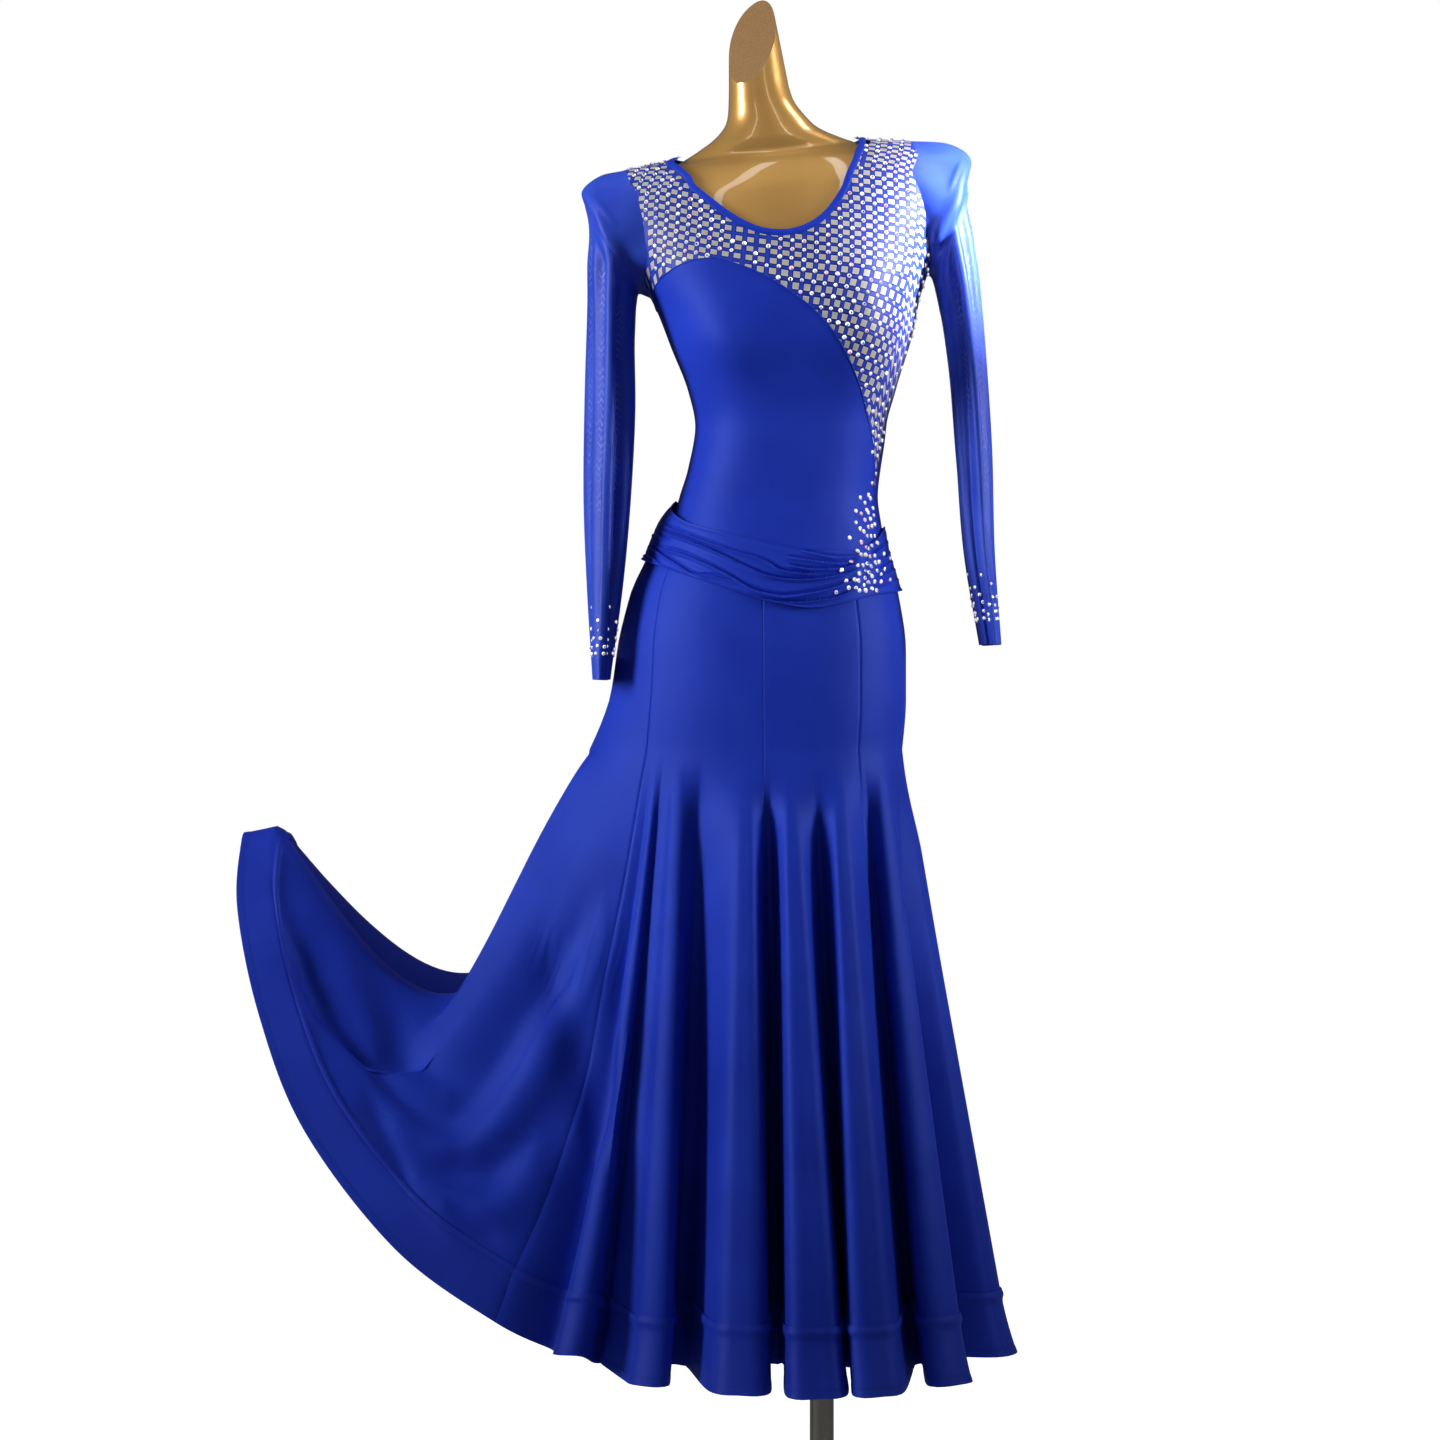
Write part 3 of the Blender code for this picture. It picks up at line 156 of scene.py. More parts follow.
STYLE_LINE = table(
    EdgePoint,
    (-0.175, 1.371), (-0.147, 1.384), (-0.119, 1.385), (-0.081, 1.373), (-0.038, 1.348), (-0.005, 1.321),
    (0.022, 1.284), (0.04, 1.243), (0.051, 1.202), (0.056, 1.16),
)
NECK_FRONT = table(
    EdgePoint,
    (-0.162, None, 0), (-0.1605, None, -0.028), (-0.1544, 1.489), (-0.144, 1.4735), (-0.124, 1.455), (-0.1035, 1.4385),
    (-0.0835, 1.426), (-0.064, 1.419), (-0.0435, 1.4175), (-0.0265, 1.421), (-0.01, 1.4295), (0.0055, 1.4445),
    (0.019, 1.466), (0.028, 1.4895), (0.0355, None, -0.056), (0.0392, None, -0.039), (0.0405, None, -0.02),
    (0.041, None, 0),
)
NECK_BACK = table(
    EdgePoint,
    (0.041, None, 0), (0.033, None, 0.026), (0.01, None, 0.047), (-0.03, None, 0.06), (-0.075, None, 0.064),
    (-0.118, None, 0.056), (-0.15, None, 0.03), (-0.162, None, 0),
)
ARMHOLE_LEFT = table(
    EdgePoint,
    (-0.194, 1.386), (-0.1965, 1.412), (-0.199, 1.436), (-0.2045, 1.456), (-0.211, 1.474), (-0.2172, None, -0.035),
    (-0.2205, None, -0.017), (-0.2225, None, 0),
)
ARMHOLE_RIGHT = table(
    EdgePoint,
    (0.1155, 1.413), (0.114, 1.433), (0.1095, 1.452), (0.104, 1.472), (0.0998, 1.4945), (0.098, None, -0.034),
    (0.0975, None, -0.016), (0.0975, None, 0),
)


SIDE_LEFT = table(Level, (1.065, -95.0), (1.25, -94.0), (1.362, -92.0))  # bearings of the side seams
SIDE_RIGHT = table(Level, (1.065, 70.0), (1.128, 70.0), (1.25, 79.0), (1.378, 87.0))
STYLE_FOOT_Z = 1.346
STYLE_TAIL_Z = 1.128
BINDING_WIDTH = 8 * MM
BINDING_THICK = 2.4 * MM


class Section(NamedTuple):
    """One section of a sleeve: its outer and inner point from the front, half its depth and its middle."""

    outer_x: float
    outer_z: float
    inner_x: float
    inner_z: float
    half_depth: float
    centre_y: float


SLEEVE_LEFT = table(
    Section,
    (-0.2465, 1.486, -0.204, 1.36, 0.067, 0.008), (-0.2672, 1.4735, -0.207, 1.357, 0.066, 0.007),
    (-0.264, 1.4555, -0.208, 1.35, 0.06, 0.005), (-0.258, 1.428, -0.209, 1.341, 0.057, 0.003),
    (-0.26, 1.39, -0.21, 1.322, 0.053, 0), (-0.2592, 1.34, -0.211, 1.295, 0.051, -0.002),
    (-0.261, 1.24, -0.21, 1.222, 0.047, -0.006), (-0.262, 1.13, -0.214, 1.125, 0.045, -0.012),
    (-0.259, 1.03, -0.222, 1.03, 0.042, -0.016), (-0.254, 0.926, -0.236, 0.926, 0.04, -0.02),
)
SLEEVE_RIGHT = table(
    Section,
    (0.139, 1.517, 0.12, 1.382, 0.068, 0.008), (0.1648, 1.5105, 0.124, 1.378, 0.066, 0.007),
    (0.1628, 1.488, 0.127, 1.368, 0.06, 0.005), (0.159, 1.465, 0.129, 1.358, 0.057, 0.004),
    (0.1665, 1.424, 0.132, 1.342, 0.054, 0.002), (0.174, 1.365, 0.137, 1.316, 0.051, 0),
    (0.181, 1.28, 0.144, 1.258, 0.047, -0.002), (0.187, 1.18, 0.15, 1.17, 0.045, -0.005),
    (0.19, 1.07, 0.159, 1.068, 0.042, -0.008), (0.198, 0.965, 0.177, 0.965, 0.04, -0.01),
)


class SashRow(NamedTuple):
    """Lower and upper edge of the sash at one bearing."""

    bearing: float
    low: float
    top: float


SASH = table(
    SashRow,
    (-98, 1.06, 1.1245), (-80, 1.056, 1.1155), (-62, 1.05, 1.1055), (-48, 1.043, 1.0965), (-33, 1.0335, 1.089),
    (-19, 1.0225, 1.082), (0, 1.0085, 1.073), (15, 1.0028, 1.0675), (35, 1.0105, 1.068), (50, 1.018, 1.073),
    (85, 1.0245, 1.0965), (130, 1.032, 1.096), (180, 1.036, 1.1), (230, 1.05, 1.115), (262, 1.06, 1.1245),
)
SASH_JOIN = 35.0
SASH_CLEAR = 2.0 * MM


HIP_PULL = table(  # how far the held tip draws the cloth out at the left hip
    Level,
    (0.848, 0.0636), (0.876, 0.048), (0.904, 0.0366), (0.96, 0.0276), (1.016, 0.02), (1.044, 0.018), (1.072, 0.016),
    (1.1, 0.0115), (1.124, 0),
)
PULL_BEARING = -98.0
PULL_SPREAD = 40.0
GORES = (-98.0, -55.0, -5.0, 38.0, 82.0, 130.0, 176.0, 217.0)  # bearings of the seams
FOLD_START = 0.14  # the share of the drop over which the flutes open
FOLD_STAGGER = 0.35  # how much that differs from flute to flute
FOLD_LEAD = 0.035  # how much of their depth the flutes have just below the hip
FOLD_LEAD_END = 0.4  # the share of the drop by which that is gone


class HemPoint(NamedTuple):
    """A crest, a valley or a plain point of the hem, with the sag and the bow of its line of cloth."""

    bearing: float
    x: float
    y: float
    z: float
    width: float = 0.0
    sag: float = 0.0
    skew: float = 1.0
    bow: float = 0.0


HEM = table(
    HemPoint,
    (-98, -0.638, 0.012, 0.752, 0, 0.24, 0.78, 0.005), (-92, -0.641, -0.022, 0.744, 0, 0.233, 0.8, -0.03),
    (-85, -0.642, -0.048, 0.672, 0, 0.244, 1.34, -0.034), (-78, -0.614, -0.078, 0.556, 0, 0.192, 1.12, -0.028),
    (-70, -0.561, -0.11, 0.434, 0, 0.155, 1, -0.018), (-62, -0.459, -0.145, 0.31, 0, 0.118, 1, -0.008),
    (-55, -0.35, -0.172, 0.236, 0, 0.088), (-51, -0.285, -0.188, 0.204, 0.05, 0.045),
    (-47, -0.236, -0.15, 0.188, -0.018, 0.01), (-42, -0.199, -0.212, 0.176, 0.054), (-30, -0.149, -0.12, 0.18, -0.03),
    (-13, -0.0955, -0.268, 0.176, 0.06), (-3, -0.053, -0.11, 0.18, -0.02), (6, -0.011, -0.282, 0.175, 0.06),
    (17, 0.0215, -0.13, 0.18, -0.014), (28, 0.056, -0.274, 0.176, 0.054), (40, 0.092, -0.118, 0.18, -0.02),
    (52, 0.138, -0.208, 0.176, 0.058), (68, 0.105, -0.07, 0.18, -0.026), (86, 0.209, -0.03, 0.178, 0.066),
    (99, 0.11, 0.045, 0.18, -0.026), (112, 0.19, 0.12, 0.178, 0.066), (124, 0.07, 0.11, 0.18, -0.026),
    (136, 0.11, 0.225, 0.178, 0.066), (147, 0.015, 0.135, 0.18, -0.024), (158, 0.005, 0.28, 0.178, 0.066),
    (170, -0.05, 0.145, 0.18, -0.022), (182, -0.105, 0.285, 0.178, 0.066), (193, -0.145, 0.15, 0.184, -0.024, 0.005),
    (205, -0.218, 0.272, 0.19, 0.064, 0.02), (213, -0.275, 0.195, 0.212, -0.03, 0.05),
    (222, -0.37, 0.245, 0.265, 0, 0.09, 1, 0.006), (232, -0.48, 0.205, 0.375, 0, 0.14, 0.9, 0.018),
    (242, -0.57, 0.15, 0.5, 0, 0.168, 0.8, 0.03), (250, -0.618, 0.098, 0.63, 0, 0.192, 0.7, 0.042),
    (256, -0.633, 0.05, 0.732, 0, 0.214, 0.71, 0.048),
)
BAND_TOP_ROWS = (-0.005, -0.002, 0.001, 0.004, 0.008, 0.012, 0.017)  # closer rows over the ridge along its top
BAND_RIDGE = 0.006  # how far down the ridge is, and how far it spreads
BAND_WALL_MM = (1.4, 1.6)  # the band's thickness, and what the ridge adds
HEM_CENTRE = (-0.05, 0.0)
ARCH_END = 0.92
HEM_FLARE = 6.0 * MM
SEAM_GROOVE = 1.2 * MM


class Crease(NamedTuple):
    """A broad trough of the held side, from one bearing and drop to another."""

    bearing_from: float
    drop_from: float
    bearing_to: float
    drop_to: float
    spread: float
    depth: float


CREASES = table(
    Crease,
    (-91, 0.55, -66, 0.52, 0.05, -0.01), (-86, 0.7, -60, 0.62, 0.05, -0.009), (256, 0.55, 236, 0.52, 0.05, -0.008),
)
POLE_RADIUS = 13.5 * MM
BASE_RADIUS = 0.165
BASE_THICK = 0.012
COLLAR_RADIUS = 0.03
COLLAR_HEIGHT = 0.045
NECK_CUT_LOW = 1.588
NECK_CUT_RISE = (0.95, 1.6)
NECK_EDGE = (-0.105, 0.01)
NECK_TAPER = 2.9
NECK_FRONT_STEPS = 40
NECK_BACK_STEPS = 30
FOOT_ROUND = 0.012
BODICE_COLUMNS = 24
BACK_COLUMNS = 18
FRONT_ROWS = 8
SHOULDER_COLUMNS = (4, 5)
SMOOTHING_ROUNDS = 400


class SeamRows(NamedTuple):
    """Steps along one side: below the style line's end, above it, and round both halves of the armhole."""

    low: int
    high: int
    armhole: int
    back_armhole: int


LEFT_ROWS = SeamRows(5, 3, 12, 8)
RIGHT_ROWS = SeamRows(2, 5, 10, 9)


# ---- numbers to surfaces
def column(rows: Sequence[Any], name: str) -> Array:
    """One named column of a table, as an array."""
    return np.array([getattr(row, name) for row in rows], dtype=float)


def eased(share: Array) -> Array:
    """Smoothstep: 3 s^2 - 2 s^3 of the share held between 0 and 1."""
    s = np.clip(share, 0.0, 1.0)
    return s * s * (3 - 2 * s)


def bell(t: Array) -> Array:
    """exp(-t^2)."""
    return np.exp(-(t**2))


def signed_turn(degrees: Array) -> Array:
    """The same turn, between -180 and 180 degrees."""
    return (degrees + 180.0) % 360.0 - 180.0


def smooth(xs: Array, ys: Array, x: Array) -> Array:
    """A monotone cubic through the points: Hermite spans whose tangents are the weighted harmonic mean of the slopes.

    Args:
        xs: increasing places of the points.
        ys: values there.
        x: places to evaluate.

    Returns:
        The curve at x, held at its ends.
    """
    xs, ys = np.asarray(xs, float), np.asarray(ys, float)
    step, slope = np.diff(xs), np.diff(ys) / np.diff(xs)
    tangent = np.zeros_like(ys)
    both = slope[:-1] * slope[1:] > 0
    weight = (2 * step[1:] + step[:-1], step[1:] + 2 * step[:-1])
    with np.errstate(divide="ignore", invalid="ignore"):
        mean = (weight[0] + weight[1]) / (weight[0] / slope[:-1] + weight[1] / slope[1:])
    tangent[1:-1] = np.where(both, mean, 0.0)
    tangent[0], tangent[-1] = slope[0], slope[-1]
    x = np.clip(x, xs[0], xs[-1])
    i = np.clip(np.searchsorted(xs, x, side="right") - 1, 0, len(step) - 1)
    f = (x - xs[i]) / step[i]
    return (
        (1 + 2 * f) * (1 - f) ** 2 * ys[i]
        + f * (1 - f) ** 2 * step[i] * tangent[i]
        + f * f * (3 - 2 * f) * ys[i + 1]
        + f * f * (f - 1) * step[i] * tangent[i + 1]
    )


def at_level(levels: Sequence[Level], z: Array) -> Array:
    """A table's numbers at heights, along the smooth curve through its rows."""
    return smooth(column(levels, "z"), column(levels, "value"), z)


def spline(points: Sequence[Any] | Array, samples: int, closed: bool = False) -> Array:
    """Catmull-Rom: Hermite spans whose tangent at each point is half the step between its neighbours.

    Args:
        points: the points, which may themselves be rows of a grid.
        samples: samples for each span.
        closed: whether the last point joins the first.

    Returns:
        The samples, and the last point of an open curve.
    """
    pts = np.asarray(points, float)
    before = np.roll(pts, 1, axis=0) if closed else np.concatenate([2 * pts[:1] - pts[1:2], pts[:-1]])
    after = np.roll(pts, -1, axis=0) if closed else np.concatenate([pts[1:], 2 * pts[-1:] - pts[-2:-1]])
    tangent = (after - before) / 2
    i = np.arange(len(pts) if closed else len(pts) - 1)
    j = (i + 1) % len(pts)
    f = (np.arange(samples) / samples).reshape((1, -1) + (1,) * (pts.ndim - 1))
    run = (
        (1 + 2 * f) * (1 - f) ** 2 * pts[i, None]
        + f * (1 - f) ** 2 * tangent[i, None]
        + f * f * (3 - 2 * f) * pts[j, None]
        + f * f * (f - 1) * tangent[j, None]
    ).reshape((-1,) + pts.shape[1:])
    return run if closed else np.concatenate([run, pts[-1:]])


def lengths(points: Array) -> Array:
    """Distance along a run of points, from its first."""
    return np.concatenate([[0.0], np.cumsum(np.linalg.norm(np.diff(points, axis=0), axis=1))])


def unit(vectors: Array) -> Array:
    """The vectors over their own lengths."""
    return vectors / np.maximum(np.linalg.norm(vectors, axis=-1, keepdims=True), 1e-12)


def finer(grid: Array, up: int, across: int, closed: bool = False) -> Array:
    """A grid of points made finer by Catmull-Rom along its columns, then along its rows.

    Args:
        grid: rows by columns of points.
        up: samples for each step between rows.
        across: samples for each step between columns.
        closed: whether the last column joins the first.

    Returns:
        The finer grid.
    """
    tall = spline(grid, up)
    return spline(tall.swapaxes(0, 1), across, closed).swapaxes(0, 1)


def grid_normals(grid: Array, closed: bool = False) -> Array:
    """Across a cell times up a cell, as unit vectors: outward where rows climb and columns run to the right."""
    if closed:
        across = np.roll(grid, -1, axis=1) - np.roll(grid, 1, axis=1)
    else:
        across = np.gradient(grid, axis=1)
    return unit(np.cross(across, np.gradient(grid, axis=0)))


def metres(grid: Array, closed: bool = False) -> Array:
    """Pattern places in metres: distance along each row from its middle, and mean distance up the columns.

    Args:
        grid: rows by columns of points.
        closed: whether the last column joins the first; the result then has one more column.

    Returns:
        Rows by columns of (u, v).
    """
    whole = np.concatenate([grid, grid[:, :1]], axis=1) if closed else grid
    u = np.cumsum(np.linalg.norm(np.diff(whole, axis=1, prepend=whole[:, :1]), axis=-1), axis=1)
    v = np.cumsum(np.linalg.norm(np.diff(whole, axis=0, prepend=whole[:1]), axis=-1), axis=0)
    return np.stack([u - u[:, [u.shape[1] // 2]], v], axis=-1)


def seen(points: Array) -> Array:
    """Where points fall in the front view drawn from 4 m: each offset from the view point times 4 / (4 + y)."""
    scale = VIEW_DISTANCE / (VIEW_DISTANCE + points[..., 1])
    x = VIEW_POINT[0] + (points[..., 0] - VIEW_POINT[0]) * scale
    z = VIEW_POINT[1] + (points[..., 2] - VIEW_POINT[1]) * scale
    return np.stack([x, z], axis=-1)


@dataclass(frozen=True)
class Fold:
    """A soft ridge (height over 0) or trough (under 0) along a smooth line of the front view.

    Its profile is exp(-t^2), or for a lopsided share -2.33 t exp(-t^2), where t is the signed distance over the width,
    which narrows to 0.55 of itself at both ends.
    """

    path: tuple[tuple[float, float], ...]
    width: float
    height: float
    lopsided: float = 0.0
    taper: float = 0.35

    def at(self, places: Array) -> Array:
        """Height of the fold at places of the front view."""
        run = spline(self.path, 10)
        ahead = unit(np.gradient(run, axis=0))
        offset = places[..., None, :] - run
        squared = (offset**2).sum(axis=-1)
        nearest = squared.argmin(axis=-1)
        near = np.take_along_axis(offset, nearest[..., None, None], axis=-2)[..., 0, :]
        side = ahead[nearest][..., 0] * near[..., 1] - ahead[nearest][..., 1] * near[..., 0]
        share = (lengths(run) / lengths(run)[-1])[nearest]
        fade = eased(np.minimum(share, 1 - share) / self.taper + 0.02)
        t = np.where(side < 0, -1.0, 1.0) * np.sqrt(squared.min(axis=-1)) / (self.width * (0.55 + 0.45 * fade))
        return self.height * fade * ((1 - self.lopsided) * bell(t) - self.lopsided * 2.33 * t * bell(t))


def folded(folds: Sequence[Fold], points: Array) -> Array:
    """The folds' heights at points, added up, with one more axis."""
    places = seen(points)
    return sum((fold.at(places) for fold in folds), np.zeros(places.shape[:-1]))[..., None]


class Body:
    """The lofted surface that the close-fitting pieces lie on, by bearing and by climb."""

    def __init__(self, rings: Sequence[Ring], busts: Sequence[Bust]) -> None:
        """Measures the climb up the side of the rings."""
        self.rings, self.busts = rings, busts
        self.climbs = lengths(np.stack([column(rings, "half_width"), column(rings, "z")], axis=1))
        self.dense = np.linspace(0.0, self.climbs[-1], 4000)

    def value(self, name: str, climb: Array) -> Array:
        """One of the rings' sizes at a climb."""
        return smooth(self.climbs, column(self.rings, name), climb)

    def climb_at(self, z: Array) -> Array:
        """The climb where the middle of the surface has this height."""
        return np.interp(z, self.value("z", self.dense), self.dense)

    def point(self, bearing: Array, climb: Array) -> Array:
        """Superellipse |sin|^2.2 + |cos|^2.2 = 1 at each climb, leaning with its width, with the busts' bells added."""
        bearing, climb = np.broadcast_arrays(np.asarray(bearing, float), np.asarray(climb, float))
        angle = np.radians(bearing)
        k = (np.abs(np.sin(angle)) ** BODY_POWER + np.abs(np.cos(angle)) ** BODY_POWER) ** (-1 / BODY_POWER)
        across = self.value("half_width", climb) * k * np.sin(angle)
        depth = np.where(np.cos(angle) > 0, self.value("front_depth", climb), self.value("back_depth", climb))
        y = -depth * k * np.cos(angle)
        z = self.value("z", climb) + self.value("lean", climb) * across
        for bust in self.busts:
            turn = signed_turn(bearing - bust.bearing)
            y = y - bust.fullness * np.exp(-((turn / bust.bearing_spread) ** 2) - ((z - bust.z) / bust.z_spread) ** 2)
        return np.stack([self.value("centre_x", climb) + across, y, z], axis=-1)

    def normal(self, bearing: Array, climb: Array) -> Array:
        """Outward unit vector, from small steps of the surface round and up."""
        around = self.point(np.add(bearing, 0.4), climb) - self.point(np.subtract(bearing, 0.4), climb)
        up = self.point(bearing, np.add(climb, 0.001)) - self.point(bearing, np.subtract(climb, 0.001))
        return unit(np.cross(around, up))

    def place(self, edge_point: EdgePoint, back: bool = False) -> Array:
        """(bearing, climb) of an edge point, by Newton's steps from the nearest place of a coarse search."""
        on_top = edge_point.z is None
        widest = self.climbs[np.argmax(column(self.rings, "half_width"))]
        climbs = np.linspace(widest, self.climbs[-1], 240) if on_top else np.linspace(0.0, widest + 0.02, 240)
        bearing, climb = np.meshgrid((90.0 if back else -90.0) + np.linspace(0.0, 180.0, 91), climbs)
        known = [0, 1] if on_top else [0, 2]
        depth = abs(edge_point.y) if back and on_top else edge_point.y
        target = np.array([edge_point.x, depth if on_top else edge_point.z])

        def miss(at_bearing: Array, at_climb: Array) -> Array:
            """How far the surface is from the target there."""
            return self.point(at_bearing, at_climb)[..., known] - target

        nearest = (miss(bearing, climb) ** 2).sum(axis=-1).argmin()
        place = np.array([bearing.flat[nearest], climb.flat[nearest]])
        nudge = np.array([0.05, 1e-4])
        for _ in range(8):
            here = miss(*place)
            slopes = [(miss(*(place + nudge * axis)) - here) / nudge.sum(where=axis > 0) for axis in np.eye(2)]
            step = np.linalg.lstsq(np.stack(slopes, axis=1), -here, rcond=None)[0]
            place += np.clip(step, [-3.0, -0.004], [3.0, 0.004])
        return place

    def path(self, edge: Sequence[EdgePoint], count: int, back: bool = False, ends: Sequence[Array] = ()) -> Array:
        """count + 1 evenly spaced (bearing, climb) places along a smooth edge, after or between given end places."""
        places = [*ends[:1], *(self.place(point, back) for point in edge), *ends[1:]]
        return self.evenly(spline(places, 24), count)

    def evenly(self, run: Array, count: int) -> Array:
        """The run again as count + 1 places at even distances along the surface."""
        along = lengths(self.point(*run.T))
        at = np.linspace(0.0, along[-1], count + 1)
        return np.stack([np.interp(at, along, run[:, k]) for k in (0, 1)], axis=1)

    def shifted(self, run: Array, distance: float) -> Array:
        """A path moved sideways along the surface, to the left of its own direction for a distance over 0."""
        bearing, climb = run[:, 0], run[:, 1]
        per_bearing = self.point(bearing + 0.5, climb) - self.point(bearing - 0.5, climb)
        per_climb = (self.point(bearing, climb + 5e-4) - self.point(bearing, climb - 5e-4)) / 1e-3
        slopes = np.stack([per_bearing, per_climb], axis=-1)
        ahead = (slopes @ np.gradient(run, axis=0)[..., None])[..., 0]
        aside = unit(np.cross(self.normal(bearing, climb), ahead))
        return run + distance * (np.linalg.pinv(slopes) @ aside[..., None])[..., 0]


def fill(bottom: Array, top: Array, left: Array, right: Array) -> Array:
    """Coons patch between four edges that share their corners, spread by Winslow's smoothing.

    Args:
        bottom: places from left to right.
        top: places from left to right.
        left: places from bottom to top.
        right: places from bottom to top.

    Returns:
        A grid of places: ruled between both pairs of edges, less the corners' bilinear part, then each place moved
        to the weighted mean of its neighbours until no cell folds over.
    """
    u = np.linspace(0.0, 1.0, len(bottom))[None, :, None]
    v = np.linspace(0.0, 1.0, len(left))[:, None, None]
    ruled = (1 - v) * bottom[None] + v * top[None] + (1 - u) * left[:, None] + u * right[:, None]
    corners = (1 - u) * (1 - v) * bottom[0] + u * (1 - v) * bottom[-1] + (1 - u) * v * top[0] + u * v * top[-1]
    scale = np.array([METRES_PER_DEGREE, 1.0])
    grid = (ruled - corners) * scale
    for _ in range(SMOOTHING_ROUNDS):
        along, up = (grid[1:-1, 2:] - grid[1:-1, :-2]) / 2, (grid[2:, 1:-1] - grid[:-2, 1:-1]) / 2
        twist = (grid[2:, 2:] - grid[2:, :-2] - grid[:-2, 2:] + grid[:-2, :-2]) / 4
        a, b, c = ((p * q).sum(axis=-1, keepdims=True) for p, q in ((up, up), (along, up), (along, along)))
        level, upright = grid[1:-1, 2:] + grid[1:-1, :-2], grid[2:, 1:-1] + grid[:-2, 1:-1]
        grid[1:-1, 1:-1] = (a * level + c * upright - 2 * b * twist) / (2 * (a + c))
    return grid / scale


def join(*runs: Array) -> Array:
    """Runs of places end to end, each dropping its first because the run before ends there."""
    return np.vstack([runs[0]] + [run[1:] for run in runs[1:]])


def turned_round(run: Array) -> Array:
    """The same places with their bearings a full turn on."""
    return run + np.array([360.0, 0.0])


# ---- shader sums
class Value:
    """A number that changes over a surface: one output socket, whose sums and products add Math nodes."""

    def __init__(self, graph: "Graph", socket: bpy.types.NodeSocket) -> None:
        """Keeps the graph that the socket is in."""
        self.graph, self.socket = graph, socket

    def maths(self, operation: str, *operands: Any) -> "Value":
        """A Math node of the operands, in their order."""
        return self.graph.node("ShaderNodeMath", {"operation": operation}, dict(enumerate(operands)))

    def __add__(self, other: Any) -> "Value":
        """Self plus other."""
        return self.maths("ADD", self, other)

    __radd__ = __add__

    def __sub__(self, other: Any) -> "Value":
        """Self less other."""
        return self.maths("SUBTRACT", self, other)

    def __rsub__(self, other: Any) -> "Value":
        """Other less self."""
        return self.maths("SUBTRACT", other, self)

    def __mul__(self, other: Any) -> "Value":
        """Self times other."""
        return self.maths("MULTIPLY", self, other)

    __rmul__ = __mul__

    def __truediv__(self, other: Any) -> "Value":
        """Self over other."""
        return self.maths("DIVIDE", self, other)

    def __abs__(self) -> "Value":
        """Self without its sign."""
        return self.maths("ABSOLUTE", self)

    def sine(self) -> "Value":
        """Sine of self in radians."""
        return self.maths("SINE", self)

    def cell(self) -> "Value":
        """Distance from the nearest whole number, from 0 to 0.5."""
        return abs(self.maths("FRACT", self + 0.5) - 0.5)

    def least(self, other: Any) -> "Value":
        """The smaller of two."""
        return self.maths("MINIMUM", self, other)

    def most(self, other: Any) -> "Value":
        """The larger of two."""
        return self.maths("MAXIMUM", self, other)

    def over(self, low: float, high: float) -> "Value":
        """0 below low, 1 above high, straight in between; falling where high is below low."""
        return self.graph.node(
            "ShaderNodeMapRange",
            {"clamp": True},
            {"Value": self, "From Min": low, "From Max": high, "To Min": 0.0, "To Max": 1.0},
        )


